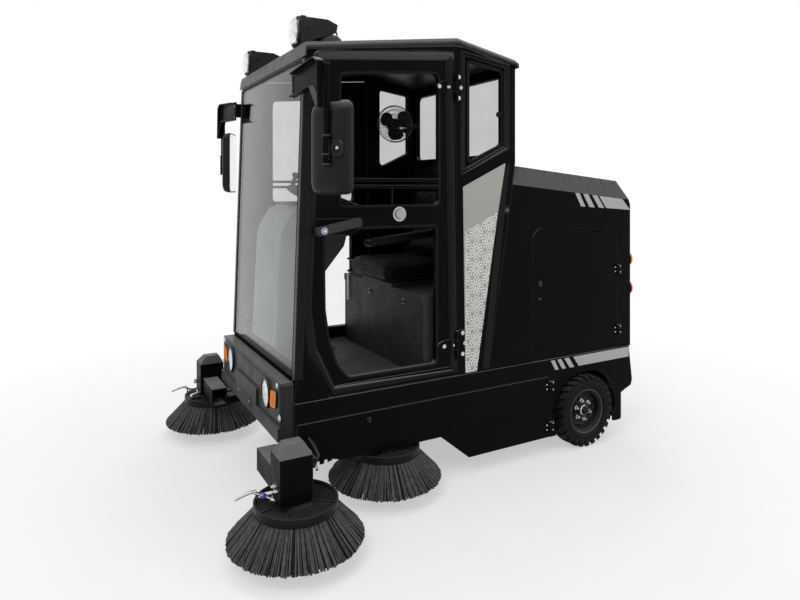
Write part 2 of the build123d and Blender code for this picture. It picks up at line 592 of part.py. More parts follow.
RAIL_Z = (2 * TYRE_R + 30, SILL_Z - FLOOR_THICK)
RAIL_Y = (260.0, 300.0)
KING_R = 22.0
frame = join([box(-1100, 850, s * RAIL_Y[0], s * RAIL_Y[1], *RAIL_Z) for s in (1, -1)])
CROSS = [  # x0, x1, half length
    (790, 830, FRAME_HALF), (470, 630, FRAME_HALF), (150, 200, FRAME_HALF), (-480, -440, FRAME_HALF),
    (-800, -750, FRAME_HALF - 85), (-1100, -1060, FRAME_HALF)]
for x0, x1, half in CROSS:
    frame += box(x0, x1, -half, half, *RAIL_Z)
frame -= rod_z(FRONT_WHEEL_X, 0, KING_R + WHEEL_CLEAR, RAIL_Z[0] - 10, RAIL_Z[1] + 10)
PAD_HALF_X = 30.0
PAD_LOW_Z = TYRE_R - 40
axle_pads = [box(REAR_AXLE_X - PAD_HALF_X, REAR_AXLE_X + PAD_HALF_X, s * (RAIL_Y[0] + 2), s * (RAIL_Y[1] - 2),
                 PAD_LOW_Z, RAIL_Z[0] + 1) for s in (1, -1)]
for s, pad in zip((1, -1), axle_pads):
    frame += pad
    # roller bearers
    frame += box(ROLLER_X - 30, ROLLER_X + 30, s * (BEARER_OUT - 12), s * BEARER_OUT, ROLLER_Z - 36, RAIL_Z[0] + 2)
    frame += box(ROLLER_X - 30, ROLLER_X + 30, s * (RAIL_Y[1] - 10), s * BEARER_OUT, RAIL_Z[0], RAIL_Z[0] + 20)
frame -= rod_y(ROLLER_X, ROLLER_Z, ROLLER_SHAFT_R + WHEEL_CLEAR, -BEARER_OUT - 1, BEARER_OUT + 1)
save("frame", frame)

# --------------------------------------------------------------- rear axle
AXLE_R = 34.0
FLANGE_OUT = REAR_TYRE_OUT - TYRE_W - 11
axle = rod_y(REAR_AXLE_X, TYRE_R, AXLE_R, -FLANGE_OUT + 19, FLANGE_OUT - 19)
axle += rod_y(REAR_AXLE_X, TYRE_R, 88, -60, 60)
axle += rod_x(0, TYRE_R, 62, REAR_AXLE_X + 40, REAR_AXLE_X + 250)
for s in (1, -1):
    axle += rod_y(REAR_AXLE_X, TYRE_R, 52, s * (FLANGE_OUT - 20), s * FLANGE_OUT)
    axle += rod_y(REAR_AXLE_X, TYRE_R, STUB_R, s * (FLANGE_OUT - 4), s * (REAR_TYRE_OUT - 35))
for pad in axle_pads:
    axle -= pad
save("rear_axle", axle)

# ------------------------------------------------------------------ wheels
LUG_TALL = 12.0
LUGS = 24                                      # a side
LUG_SHARE = 0.58                               # of the pitch
SHOULDER = TYRE_W / 2 - 9
CARCASS_SECTION = [  # radius, out from the middle of the tread
    (RIM_R, -TYRE_W / 2 + 10), (TYRE_R - 44, -TYRE_W / 2), (TYRE_R - LUG_TALL - 6, -SHOULDER),
    (TYRE_R - LUG_TALL - 6, SHOULDER), (TYRE_R - 44, TYRE_W / 2), (RIM_R, TYRE_W / 2 - 10)]
RIM_HALF = TYRE_W / 2 - 10
RIM_SHEET = 12.0
DISC_SHEET = 8.0
HUB_R = 34.0
NUTS = 6
NUT_CIRCLE = 50.0
NUT_R = 10.0
HUB_REACH = (40.0, 22.0)                       # inboard, outboard


def lug_ring(turn):
    """Toothed outline of one side of the tread, its lugs turned on by a share of their pitch."""
    step = 2 * math.pi / LUGS
    corners = []
    for i in range(LUGS):
        for share, r in ((0, TYRE_R - LUG_TALL), (0, TYRE_R), (LUG_SHARE, TYRE_R), (LUG_SHARE, TYRE_R - LUG_TALL)):
            angle = step * (i + turn + share)
            corners.append((r * math.cos(angle), r * math.sin(angle)))
    return corners


def tyre_blank():
    """Tyre about the cross line through the origin."""
    tread = turned_y(CARCASS_SECTION, 0, 0)
    hole = rod_y(0, 0, TYRE_R - LUG_TALL - 30, -TYRE_W, TYRE_W)
    for y0, y1, turn in ((-SHOULDER, 0, 0.5), (0, SHOULDER, 0)):
        tread += along_y(lug_ring(turn), y0, y1) - hole
    return tread


TYRE = tyre_blank()


def tyre_at(x, y_mid):
    return Pos(x, y_mid, TYRE_R) * TYRE


def rim_at(x, y_mid):
    """Rim with its disc and hub; the dished face looks to +Y."""
    r = turned_y([(RIM_R, y_mid - RIM_HALF), (RIM_R - RIM_SHEET, y_mid - RIM_HALF),
                  (RIM_R - RIM_SHEET, y_mid + RIM_HALF), (RIM_R, y_mid + RIM_HALF)], x, TYRE_R)
    r += rod_y(x, TYRE_R, RIM_R - RIM_SHEET + 1, y_mid + 2, y_mid + 2 + DISC_SHEET)
    r += rod_y(x, TYRE_R, HUB_R, y_mid - HUB_REACH[0], y_mid + HUB_REACH[1])
    r += rod_y(x, TYRE_R, NUT_CIRCLE + 14, y_mid + 2, y_mid + 2 + DISC_SHEET + 6)
    for i in range(NUTS):
        a = 2 * math.pi * i / NUTS
        nut = Pos(x + NUT_CIRCLE * math.cos(a), y_mid + HUB_REACH[1] - 6, TYRE_R + NUT_CIRCLE * math.sin(a))
        r += nut * Rot(90, 0, 0) * extrude(RegularPolygon(NUT_R, 6), amount=8, both=True)
    r -= rod_y(x, TYRE_R, STUB_R + WHEEL_CLEAR, y_mid - 200, y_mid + 200)
    return r


rear_mid = REAR_TYRE_OUT - TYRE_W / 2
tyre = tyre_at(REAR_AXLE_X, rear_mid)
rim = rim_at(REAR_AXLE_X, rear_mid)
save("rear_tyre_left", tyre)
save("rear_tyre_right", other_side(tyre))
save("rear_rim_left", rim)
save("rear_rim_right", other_side(rim))
save("front_tyre", tyre_at(FRONT_WHEEL_X, 0))
save("front_rim", rim_at(FRONT_WHEEL_X, 0))

FORK_TOP = RAIL_Z[0] - 6
FORK_OUT = TYRE_W / 2 + 28
FORK_SHEET = 16.0
fork = box(FRONT_WHEEL_X - 60, FRONT_WHEEL_X + 60, -FORK_OUT, FORK_OUT, FORK_TOP - 18, FORK_TOP)
for s in (1, -1):
    fork += box(FRONT_WHEEL_X - 34, FRONT_WHEEL_X + 34, s * (FORK_OUT - FORK_SHEET), s * FORK_OUT, TYRE_R - 30,
                FORK_TOP - 10)
fork += rod_y(FRONT_WHEEL_X, TYRE_R, STUB_R, -FORK_OUT + 8, FORK_OUT - 8)
fork += rod_z(FRONT_WHEEL_X, 0, KING_R, FORK_TOP - 4, RAIL_Z[1] - 2)
save("front_fork", fork)

# ------------------------------------------------------------- side brushes
TUFTS = 40
TUFT_ROOT_R = (DISC_R - 6, DISC_R - 12)        # crest, valley
TUFT_TIP_R = (BRUSH_R, BRUSH_R - 14)
DISC_WALL = 12.0
DISC_SUNK = 12.0


def pleats(crest, valley, z):
    """Face whose outline goes in and out once a tuft."""
    corners = []
    for i in range(TUFTS):
        for share, r in ((0.1, crest), (0.6, crest), (0.72, valley), (0.98, valley)):
            a = 2 * math.pi * (i + share) / TUFTS
            corners.append((r * math.cos(a), r * math.sin(a)))
    return Pos(0, 0, z) * flat(corners)


def brush_blank():
    """Spread tufts under a walled disc, about the upright line through the origin."""
    tufts = loft([pleats(*TUFT_TIP_R, BRUSH_TIP_Z), pleats(*TUFT_ROOT_R, DISC_LOW_Z)], ruled=True)
    tufts -= Pos(0, 0, BRUSH_TIP_Z - 1) * Cone(150, 46, DISC_LOW_Z - BRUSH_TIP_Z - 20,
                                               align=(Align.CENTER, Align.CENTER, Align.MIN))
    disc = rod_z(0, 0, DISC_R, DISC_LOW_Z - 0.5, DISC_TOP_Z)
    disc -= rod_z(0, 0, DISC_R - DISC_WALL, DISC_TOP_Z - DISC_SUNK, DISC_TOP_Z + 1)
    disc += rod_z(0, 0, 58, DISC_TOP_Z - DISC_SUNK - 1, DISC_TOP_Z)
    disc -= rod_z(0, 0, SHAFT_R + WHEEL_CLEAR, DISC_LOW_Z + 8, DISC_TOP_Z + 1)
    return tufts + disc


BRUSH = brush_blank()


def side_brush(x, y):
    return Pos(x, y, 0) * BRUSH


for name, (x, y) in (("front", FRONT_BRUSH), ("middle", MID_BRUSH)):
    b = side_brush(x, y)
    save("brush_" + name + "_left", b)
    save("brush_" + name + "_right", other_side(b))

# front brush carriers: cover box, cross tube, arm to the frame
COVER = (FRONT_BRUSH[0] - 43, FRONT_BRUSH[0] + 85, FRONT_BRUSH[1] - 46, FRONT_BRUSH[1] + 64, 216.0, 388.0, 428.0)


def cover_box():
    x0, x1, y0, y1, z0, z1, z2 = COVER
    base = box(x0, x1, y0, y1, z0, z1)
    low = Plane(origin=((x0 + x1) / 2, (y0 + y1) / 2, z1)) * Rectangle(x1 - x0, y1 - y0)
    high = Plane(origin=((x0 + x1) / 2 - 6, (y0 + y1) / 2 - 6, z2)) * Rectangle(x1 - x0 - 56, y1 - y0 - 52)
    return base + loft([low, high])


save("brush_covers", both(cover_box()))

front_shaft = rod_z(*FRONT_BRUSH, SHAFT_R, DISC_LOW_Z + 10, COVER[4])
BEAM = (FRONT_BRUSH[0] - 8, FRONT_BRUSH[0] + 72, FRONT_BRUSH[1] - 276, COVER[2], 222.0, 312.0)
BEAM_SHEET = 6.0
beam = box(*BEAM)
beam -= box(BEAM[0] + BEAM_SHEET, BEAM[1] - BEAM_SHEET, BEAM[2] - 1, BEAM[3] - 10, BEAM[4] + BEAM_SHEET,
            BEAM[5] - BEAM_SHEET)
LINK = (640.0, BEAM[0] + 5, BEAM[2] + 4, BEAM[2] + 44, 226.0, 262.0)
beam += box(*LINK)
beam += box(LINK[0], LINK[0] + 50, LINK[2], LINK[3], LINK[4], RAIL_Z[0] + 2)
beam += box(LINK[0], LINK[0] + 50, RAIL_Y[1], LINK[3], RAIL_Z[0], RAIL_Z[0] + 30)
save("brush_arms", both(beam))
MOTOR_R = 55.0
MOTOR_TOP = 330.0
SHELF = 12.0
mid_motor = rod_z(*MID_BRUSH, MOTOR_R, DISC_TOP_Z + 6, MOTOR_TOP)
mid_motor += rod_z(*MID_BRUSH, SHAFT_R, DISC_LOW_Z + 10, DISC_TOP_Z + 11)
for y1, z1 in ((MID_BRUSH[1] + 59, MOTOR_TOP + SHELF), (RAIL_Y[1] + 8, RAIL_Z[0] + 30)):
    mid_motor += box(MID_BRUSH[0] - 60, MID_BRUSH[0] + 60, RAIL_Y[1], y1, MOTOR_TOP, z1)
save("brush_motors", both(front_shaft) + both(mid_motor))

# ------------------------------------------------------------ main roller
ROLLER_ROWS = 14
ROLLER_CORE_R = 96.0
row_line = []
for i in range(ROLLER_ROWS):
    for share, r in ((0, ROLLER_CORE_R), (0.08, ROLLER_R), (0.42, ROLLER_R), (0.5, ROLLER_CORE_R)):
        a = 2 * math.pi * (i + share) / ROLLER_ROWS
        row_line.append((ROLLER_X + r * math.cos(a), ROLLER_Z + r * math.sin(a)))
roller = along_y(row_line, -ROLLER_HALF, ROLLER_HALF)
roller += rod_y(ROLLER_X, ROLLER_Z, ROLLER_SHAFT_R, -BEARER_OUT, BEARER_OUT)
save("roller_brush", roller)

# ------------------------------------------------------------------- cabin
SEAT_BOX_X = 200.0
SEAT_BOX_Z = 878.0
SEAT_BOX_HALF = INNER_HALF - 7
SHEET = 10.0
box_foot_x = back_x(SILL_Z) + BACK_THICK + 4
box_head_x = back_x(SEAT_BOX_Z) + BACK_THICK + 8
SEAT_Z = (905.0, 1010.0)
SEAT_X = (-140.0, 300.0)
SEAT_HALF = 240.0
PLINTH_HALF = 170.0
seat_box = along_y([(SEAT_BOX_X, SILL_Z), (SEAT_BOX_X, SEAT_BOX_Z), (box_head_x, SEAT_BOX_Z),
                    (box_foot_x, SILL_Z)], -SEAT_BOX_HALF, SEAT_BOX_HALF)
seat_box -= along_y([(SEAT_BOX_X - SHEET, SILL_Z - 1), (SEAT_BOX_X - SHEET, SEAT_BOX_Z - SHEET),
                     (box_head_x + SHEET, SEAT_BOX_Z - SHEET), (box_foot_x + SHEET, SILL_Z - 1)],
                    -SEAT_BOX_HALF + SHEET, SEAT_BOX_HALF - SHEET)
seat_box += box(SEAT_X[0] + 40, SEAT_X[1] - 80, -PLINTH_HALF, PLINTH_HALF, SEAT_BOX_Z - 1, SEAT_Z[0])
save("seat_box", seat_box)

BACK_SIZE = (90.0, 450.0, 400.0)
BACK_MID = (SEAT_X[0] - 10, 0.0, 1190.0)
BACK_LEAN = 8.0
seat = fillet(box(*SEAT_X, -SEAT_HALF, SEAT_HALF, *SEAT_Z).edges(), 24)
seat += Pos(*BACK_MID) * Rot(0, -BACK_LEAN, 0) * fillet(Box(*BACK_SIZE).edges(), 26)
save("seat", seat)
ARM_Y = SEAT_HALF + 28
ARM_REAR = (BACK_MID[0] - 20, 1178.0)          # x, z
ARM_FRONT = (SEAT_X[1] + 90, 1120.0)
arms = []
for s in (1, -1):
    rest = bar((ARM_REAR[0], s * ARM_Y, ARM_REAR[1]), (ARM_FRONT[0], s * ARM_Y, ARM_FRONT[1]), 46, 30)
    rest = fillet(rest.edges(), 8)
    rest += rod_y(ARM_REAR[0] + 22, ARM_REAR[1] - 6, 13, s * BACK_SIZE[1] / 2, s * (ARM_Y - 6))
    arms.append(rest)
save("armrests", arms)

CONSOLE_HALF = 190.0
CONSOLE_LINE = [(836, SILL_Z), (836, 600), (806, 1180), (740, 1290), (690, 1296), (650, 1240),
                (640, 900), (600, 780), (600, SILL_Z)]
CONSOLE_ROUND = [0, 0, 30, 40, 20, 20, 40, 20, 0]
console = along_y(CONSOLE_LINE, -CONSOLE_HALF, CONSOLE_HALF, CONSOLE_ROUND)
console += box(694, 738, -92, 92, 1280, 1302)
SHROUD_HALF = 75.0
SHROUD = [(645, 895), (550, 960), (440, 1092), (424, 1150), (444, 1228), (520, 1258), (600, 1200), (655, 1100)]
SHROUD_ROUND = [0, 30, 12, 20, 20, 20, 30, 0]

HAND_WHEEL = (500.0, 0.0, 1320.0)
HAND_WHEEL_TILT = 20.0
RING_R = 200.0
RING_ROD_R = 13.0
HUB_TALL = 26.0
on_column = Pos(*HAND_WHEEL) * Rot(0, -HAND_WHEEL_TILT, 0)
hand_wheel = Torus(RING_R, RING_ROD_R)
hand_wheel += Pos(0, 0, -6) * Cylinder(38, HUB_TALL)
for k in range(3):
    hand_wheel += Rot(0, 0, 120 * k) * Pos(RING_R / 2 + 10, 0, -4) * Box(RING_R - 30, 22, 10)
hand_wheel -= Pos(0, 0, -30) * Cylinder(SHAFT_R + WHEEL_CLEAR, 48)
save("steering_wheel", on_column * hand_wheel)
COLUMN_R = 24.0
COLUMN_LONG = 430.0
column = on_column * Pos(0, 0, -40) * Cylinder(SHAFT_R, 60)
column += on_column * Pos(0, 0, -40 - COLUMN_LONG / 2) * Cylinder(COLUMN_R, COLUMN_LONG)
column += along_y(SHROUD, -SHROUD_HALF, SHROUD_HALF, SHROUD_ROUND)
save("console", console - column)
save("steering_column", column)

FAN = (-74.0, -330.0, 1770.0)
FAN_TURN = 12.0                                # off straight to the left
FAN_R = 114.0
FAN_DEEP = 60.0
FAN_SPOKES = 8
CAGE_WIRE = 3.0
facing = Pos(*FAN) * Rot(0, 0, -FAN_TURN) * Rot(90, 0, 0)      # local z looks away from the blades' face
fan = Cylinder(26, FAN_DEEP - 8)
for r, z in ((FAN_R - CAGE_WIRE, 0), (86, -24), (86, 24), (52, -27), (52, 27)):
    inner, outer, low, high = r - CAGE_WIRE, r + CAGE_WIRE, z - CAGE_WIRE, z + CAGE_WIRE
    fan += turned_z([(inner, low), (outer, low), (outer, high), (inner, high)], 0, 0)
for k in range(FAN_SPOKES):
    a = 2 * math.pi * k / FAN_SPOKES
    ends = [(FAN_R - CAGE_WIRE, 0), (86, 24), (52, 27), (20, 24)]
    for s in (1, -1):
        for (r0, z0), (r1, z1) in zip(ends, ends[1:]):
            fan += bar((r0 * math.cos(a), r0 * math.sin(a), s * z0), (r1 * math.cos(a), r1 * math.sin(a), s * z1), 4, 4)
for k in range(3):
    lobe = Pos(56, 0, 0) * Rot(24, 0, 0) * fillet(Box(76, 68, 4).edges().filter_by(Axis.Z), 26)
    fan += Rot(0, 0, 120 * k + 20) * lobe
fan = facing * fan
fan += facing * Pos(0, 0, FAN_DEEP / 2 + 20) * Cylinder(36, 60)
fan += bar((FAN[0] - 20, FAN[1] - 80, FAN[2]), (BACK_TOP_X + BACK_THICK, -INNER_HALF + 27, FAN[2]), 22, 22)
save("cab_fan", fan - back)

# ------------------------------------------------------------------ battery
save("battery", box(-70, SEAT_BOX_X - 30, -350, 350, SILL_Z, 740))
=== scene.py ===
# Compact road sweeper with an enclosed cab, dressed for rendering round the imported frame.
# Shapes are written in millimetres in the part's frame: +X forward, +Y left, +Z up.
import bpy, bmesh, math, random
from mathutils import Matrix, Vector

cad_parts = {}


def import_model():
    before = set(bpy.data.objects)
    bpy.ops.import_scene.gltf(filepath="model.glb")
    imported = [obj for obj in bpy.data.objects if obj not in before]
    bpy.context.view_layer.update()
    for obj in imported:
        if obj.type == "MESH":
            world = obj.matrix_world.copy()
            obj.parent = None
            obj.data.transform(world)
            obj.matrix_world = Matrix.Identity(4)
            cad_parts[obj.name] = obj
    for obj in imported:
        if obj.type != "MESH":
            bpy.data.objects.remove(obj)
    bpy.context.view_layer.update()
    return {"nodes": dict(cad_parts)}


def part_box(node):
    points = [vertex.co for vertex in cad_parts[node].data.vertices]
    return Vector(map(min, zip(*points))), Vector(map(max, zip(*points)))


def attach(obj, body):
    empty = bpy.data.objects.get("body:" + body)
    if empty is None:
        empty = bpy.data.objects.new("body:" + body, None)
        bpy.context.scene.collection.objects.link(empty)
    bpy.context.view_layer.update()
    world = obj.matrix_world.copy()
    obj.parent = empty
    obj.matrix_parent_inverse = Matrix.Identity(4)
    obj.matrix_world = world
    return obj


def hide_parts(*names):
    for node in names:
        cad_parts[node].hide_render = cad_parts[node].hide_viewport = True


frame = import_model()
scene = bpy.context.scene
nodes = frame["nodes"]
MM = 0.001
TAU = 2 * math.pi
WHITE = (1, 1, 1, 1)
SIDES = (("left", 1), ("right", -1))


# ---------------------------------------------------------------- materials
def feed(tree, node, feeds):
    """Gives each named input of a node its value or its socket."""
    for key, value in feeds.items():
        if isinstance(value, bpy.types.NodeSocket):
            tree.links.new(value, node.inputs[key])
        else:
            node.inputs[key].default_value = value
    return node


def new_node(tree, kind, feeds, **settings):
    node = tree.nodes.new("ShaderNode" + kind)
    for key, value in settings.items():
        setattr(node, key, value)
    return feed(tree, node, feeds)


def noise_at(tree, scale, detail=4.0):
    """Noise over the object's own coordinates, 0 to 1."""
    where = new_node(tree, "TexCoord", {}).outputs["Object"]
    return new_node(tree, "TexNoise", {"Vector": where, "Scale": scale, "Detail": detail}).outputs["Fac"]


def ranged(tree, source, low, high, start=0.3, end=0.7):
    feeds = {"Value": source, "From Min": start, "From Max": end, "To Min": low, "To Max": high}
    return new_node(tree, "MapRange", feeds).outputs["Result"]


def maths(tree, operation, a, b):
    return new_node(tree, "Math", {0: a, 1: b}, operation=operation).outputs[0]


def mixed(tree, fac, a, b):
    """Colour between a and b; each is a colour or a socket."""
    a, b = (c if isinstance(c, bpy.types.NodeSocket) else (*c, 1) for c in (a, b))
    return new_node(tree, "Mix", {0: fac, 6: a, 7: b}, data_type="RGBA").outputs[2]


def blended(tree, fac, first, second, out):
    """Ends the tree with a blend of two shaders."""
    both = new_node(tree, "MixShader", {0: fac, 1: first.outputs[0], 2: second.outputs[0]})
    tree.links.new(both.outputs[0], tree.nodes[out].inputs["Surface"])


def new_material(name):
    m = bpy.data.materials.new(name)
    m.use_nodes = True
    return m, m.node_tree


def shade(colour, k):
    return tuple(min(1.0, c * k) for c in colour)


# first grey: what top faces turn to, partly dust and partly painted sheen of the light from above; second
# grey: painted highlight along edges
DUST_AND_SHEEN, EDGE_HIGHLIGHT = (0.20, 0.20, 0.195), (0.13, 0.13, 0.13)


def surface(name, colour, rough, vary=0.2, patch=6.0, grain=260.0, bump=0.15, rough_vary=0.08,
            edge=1.2, dust_and_sheen=0.0, edge_highlight=0.0, spec=0.5, metal=0.0):
    """Procedural coat: patchy colour, uneven gloss, fine grain, painted highlights along edges, and top faces
    lighter by dust and by painted sheen.
    """
    if isinstance(colour, float):              # a grey
        colour = (colour,) * 3
    m, tree = new_material(name)
    patches = ranged(tree, noise_at(tree, patch, 5.0), 0, 1)
    tint = mixed(tree, patches, shade(colour, 1 - vary), shade(colour, 1 + vary))
    normal = new_node(tree, "NewGeometry", {}).outputs["Normal"]
    if dust_and_sheen:
        # faces turned up are lightened: partly dust, partly painted sheen of the light from above
        height = new_node(tree, "SeparateXYZ", {"Vector": normal}).outputs["Z"]
        up = ranged(tree, height, 0.0, dust_and_sheen, 0.12, 0.8)
        speck = ranged(tree, noise_at(tree, 30.0, 8.0), 0.8, 1.0)
        tint = mixed(tree, maths(tree, "MULTIPLY", up, speck), tint, DUST_AND_SHEEN)
    grains = noise_at(tree, grain, 3.0)
    relief = new_node(tree, "Bump", {"Strength": bump, "Distance": 0.0006, "Height": grains})
    if edge:
        eased = new_node(tree, "Bevel", {"Radius": edge * MM}, samples=4).outputs["Normal"]
        tree.links.new(eased, relief.inputs["Normal"])
        if edge_highlight:
            # edges lightened where the eased normal bends away from the face: a painted highlight along every
            # edge
            bent = new_node(tree, "VectorMath", {0: eased, 1: normal}, operation="DOT_PRODUCT")
            edge_lit = ranged(tree, bent.outputs["Value"], edge_highlight, 0.0, 0.9, 0.995)
            tint = mixed(tree, edge_lit, tint, EDGE_HIGHLIGHT)
    gloss = ranged(tree, noise_at(tree, patch * 2.3, 6.0), rough - rough_vary, rough + rough_vary)
    feed(tree, tree.nodes["Principled BSDF"], {
        "Base Color": tint, "Roughness": gloss, "Normal": relief.outputs["Normal"],
        "Specular IOR Level": spec, "Metallic": metal})
    return m


GRAZE_START, GRAZE_POWER = 0.58, 1.57          # where a pane starts to mirror, and how fast that rises


def pane(name, colour, rough=0.02):
    """Thin glazing: lets light straight through, tinted, and mirrors at a slant."""
    m, tree = new_material(name)
    tree.nodes.remove(tree.nodes["Principled BSDF"])
    film = ranged(tree, noise_at(tree, 9.0, 8.0), 0, 1)
    through = new_node(tree, "BsdfTransparent", {"Color": mixed(tree, film, colour, shade(colour, 0.97))})
    mirror = new_node(tree, "BsdfAnisotropic", {"Roughness": rough, "Color": WHITE})
    facing = new_node(tree, "LayerWeight", {"Blend": 0.5}).outputs["Facing"]
    steep = maths(tree, "POWER", ranged(tree, facing, 0.0, 1.0, GRAZE_START, 1.0), GRAZE_POWER)
    blended(tree, steep, through, mirror, "Material Output")
    return m


LOWER_PANE_TOP = 1250.0
paint = surface("satin black paint", 0.003, 0.4, 0.12, grain=420, bump=0.10, dust_and_sheen=0.85, edge=2.2, edge_highlight=0.5,
                spec=0.03)
# lighter copy of the black paint for door bands, frames, collars and edges: painted light where they catch it
lit_band_paint = surface("door frame paint painted lighter as lit", 0.007, 0.34, 0.12, grain=420, bump=0.08, dust_and_sheen=0.7, edge=1.6,
                     edge_highlight=0.6, spec=0.08)
# paler copy of the black paint for the roof, its side rim, pale edges and rim lips: painted highlights where
# light falls
lit_trim_paint = surface("roof and trim paint painted lighter as lit", 0.034, 0.36, 0.08, grain=420, bump=0.08, dust_and_sheen=0.3, edge=2.2,
                     edge_highlight=0.6, spec=0.2)
# lighter copy of the black paint for the front panel: painted light on the face lit from the front
lit_front_paint = surface("front panel paint painted lighter as lit", 0.022, 0.36, 0.08, grain=420, bump=0.08, dust_and_sheen=0.3, edge=2.2,
                      edge_highlight=0.6, spec=0.08)
box_paint = surface("cab fittings paint", 0.028, 0.5, 0.12, grain=160, bump=0.03, dust_and_sheen=0.2, edge=2.0,
                    edge_highlight=0.5, spec=0.2)
dull_paint = surface("chassis paint", 0.006, 0.55, 0.3, grain=200, bump=0.3, dust_and_sheen=0.35, edge=1.8, edge_highlight=0.6,
                     spec=0.1)
silver = surface("silver grey panel", (0.325, 0.315, 0.295), 0.45, 0.03, 3, 500, 0.05, spec=0.3)
lattice_white = surface("lattice print", (0.80, 0.79, 0.77), 0.5, 0.03, edge=0)
decal_grey = surface("grey stripe film", (0.36, 0.36, 0.355), 0.4, 0.04, edge=0, spec=0.3)
rubber = surface("black rubber", 0.005, 0.62, 0.25, grain=300, bump=0.35, dust_and_sheen=0.25, spec=0.12)
gap_black = surface("soft black seal", 0.0015, 0.8, 0.2, 20, bump=0.1, edge=0, spec=0.02)
tyre_rubber = surface("tyre rubber", (0.004, 0.004, 0.0038), 0.62, 0.3, 14, 240, 0.5, dust_and_sheen=0.14, edge=1.6,
                      edge_highlight=0.3, spec=0.08)
plastic = surface("black plastic", 0.007, 0.42, 0.15, grain=700, bump=0.3, dust_and_sheen=0.3, edge_highlight=0.3, spec=0.15)
mirror_shell = surface("mirror shell plastic", (0.005, 0.006, 0.0055), 0.34, 0.3, 3, 800, 0.2, dust_and_sheen=0.4,
                       edge=2.0, edge_highlight=0.5, spec=0.15)
grey_plastic = surface("grey lamp housing", 0.009, 0.5, 0.15, grain=500, bump=0.25, dust_and_sheen=0.25, edge_highlight=0.6,
                       spec=0.2)
pale_plastic = surface("pale console plastic", (0.29, 0.33, 0.295), 0.45, 0.10, 4, 600)
zinc = surface("bright zinc", (0.70, 0.70, 0.68), 0.28, 0.12, 60, 900, 0.1, edge=0.4, metal=1.0)
chrome = surface("polished chrome", (0.60, 0.60, 0.59), 0.12, 0.05, 30, 600, 0.03, 0.03, edge=0.4, metal=1.0)
steel = surface("dark oiled steel", 0.06, 0.38, 0.3, 40, 600, 0.25, metal=1.0)
rim_paint = surface("rim black paint", 0.004, 0.3, 0.3, 18, 350, dust_and_sheen=0.12, edge=2.0, edge_highlight=0.7, spec=0.12)
disc_black = surface("brush disc plastic", 0.006, 0.4, 0.25, 16, 420, 0.3, dust_and_sheen=0.1, edge=1.8, edge_highlight=0.7,
                     spec=0.1)
fibre = surface("grey green bristle", (0.056, 0.060, 0.058), 0.5, 0.4, 50, 500, 0.2, edge=0, spec=0.3)
shaded_fibre = surface("bristle painted as shade", (0.010, 0.011, 0.0105), 0.6, 0.4, 50, 500, 0.2, edge=0, spec=0.1)
leather = surface("black seat vinyl", (0.006, 0.006, 0.0062), 0.5, 0.2, 9, 900, 0.5, edge=0, dust_and_sheen=0.06,
                  spec=0.1)
mat_grey = surface("pale floor mat", (0.065, 0.067, 0.065), 0.7, 0.15, 12, 260, 0.4, edge=0)
blue_plastic = surface("blue ring plastic", (0.03, 0.06, 0.42), 0.35, 0.1)
screen_dark = surface("instrument face", (0.01, 0.014, 0.018), 0.16, bump=0.02)
mirror_face = surface("mirror glass", (0.80, 0.82, 0.82), 0.03, 0.02, bump=0.0, rough_vary=0.01, edge=0,
                      metal=1.0)
reflector = surface("lamp reflector", (0.86, 0.87, 0.89), 0.22, 0.15, 80, 120, 0.5, edge=0, metal=0.35)
amber = surface("amber lens", (0.80, 0.235, 0.008), 0.22, 0.08, 30, 160, 0.25, spec=0.15)
red = surface("red lens", (0.58, 0.010, 0.010), 0.22, 0.1, 30, 160, 0.25, spec=0.15)
battery_case = surface("battery case", (0.02, 0.02, 0.021), 0.5, grain=400, bump=0.3)
glass = pane("tinted cab glass", (0.865, 0.872, 0.866))
clear_glass = pane("clear door glass", (0.98, 0.985, 0.98))
lens = pane("clear lamp lens", (0.985, 0.985, 0.99), 0.03)

COATED = [  # coat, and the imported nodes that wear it; brushes wear bristle, all others satin black
    (dull_paint, "frame brush_motors rear_axle front_fork"), (mat_grey, "cab_floor"),
    (glass, "cab_glass door_glass_left door_glass_right"), (silver, "trim_panels"), (lens, "lamp_lenses"),
    (amber, "amber_lamps"), (red, "red_lamps"), (mirror_shell, "mirror_heads"), (leather, "seat"),
    (plastic, "armrests cab_fan steering_wheel door_grip_left door_grip_right"), (pale_plastic, "console"),
    # front panel and cab roof wear lighter copies of the black paint: painted light on faces lit from the
    # front and from above
    (box_paint, "steering_column seat_box"), (lit_front_paint, "front_panel"), (lit_trim_paint, "cab_roof"),
    (grey_plastic, "roof_lamps"), (battery_case, "battery"),
    (tyre_rubber, "front_tyre rear_tyre_left rear_tyre_right"),
    (rim_paint, "front_rim rear_rim_left rear_rim_right")]
coat_of = {name: coat for coat, names in COATED for name in names.split()}
for name, node in nodes.items():
    coat = coat_of.get(name, fibre if "brush_f" in name or "brush_m" in name else paint)
    node.data.materials.clear()
    node.data.materials.append(coat)
    if "door_glass" in name:                   # the lower pane is untinted
        node.data.materials.append(clear_glass)
        for face in node.data.polygons:
            face.material_index = 1 if face.center.z < LOWER_PANE_TOP * MM else 0


# ------------------------------------------------------------------- shapes
def on_side(y, x=0.0, z=0.0):
    """Places an outline (x, z) on the left side, w outward."""
    return lambda u, v, w: (x + u, y + w, z + v)


def on_front(x, y=0.0, z=0.0):
    """Places an outline (y, z) on a front face, w outward."""
    return lambda u, v, w: (x + w, y + u, z + v)


def on_rear(x, y, z):
    """Places an outline (y, z) on a rear face, w outward."""
    return lambda u, v, w: (x - w, y + u, z + v)


def on_top(z, x=0.0, y=0.0):
    """Places an outline (x, y) on a top face, w upward."""
    return lambda u, v, w: (x + u, y + v, z + w)


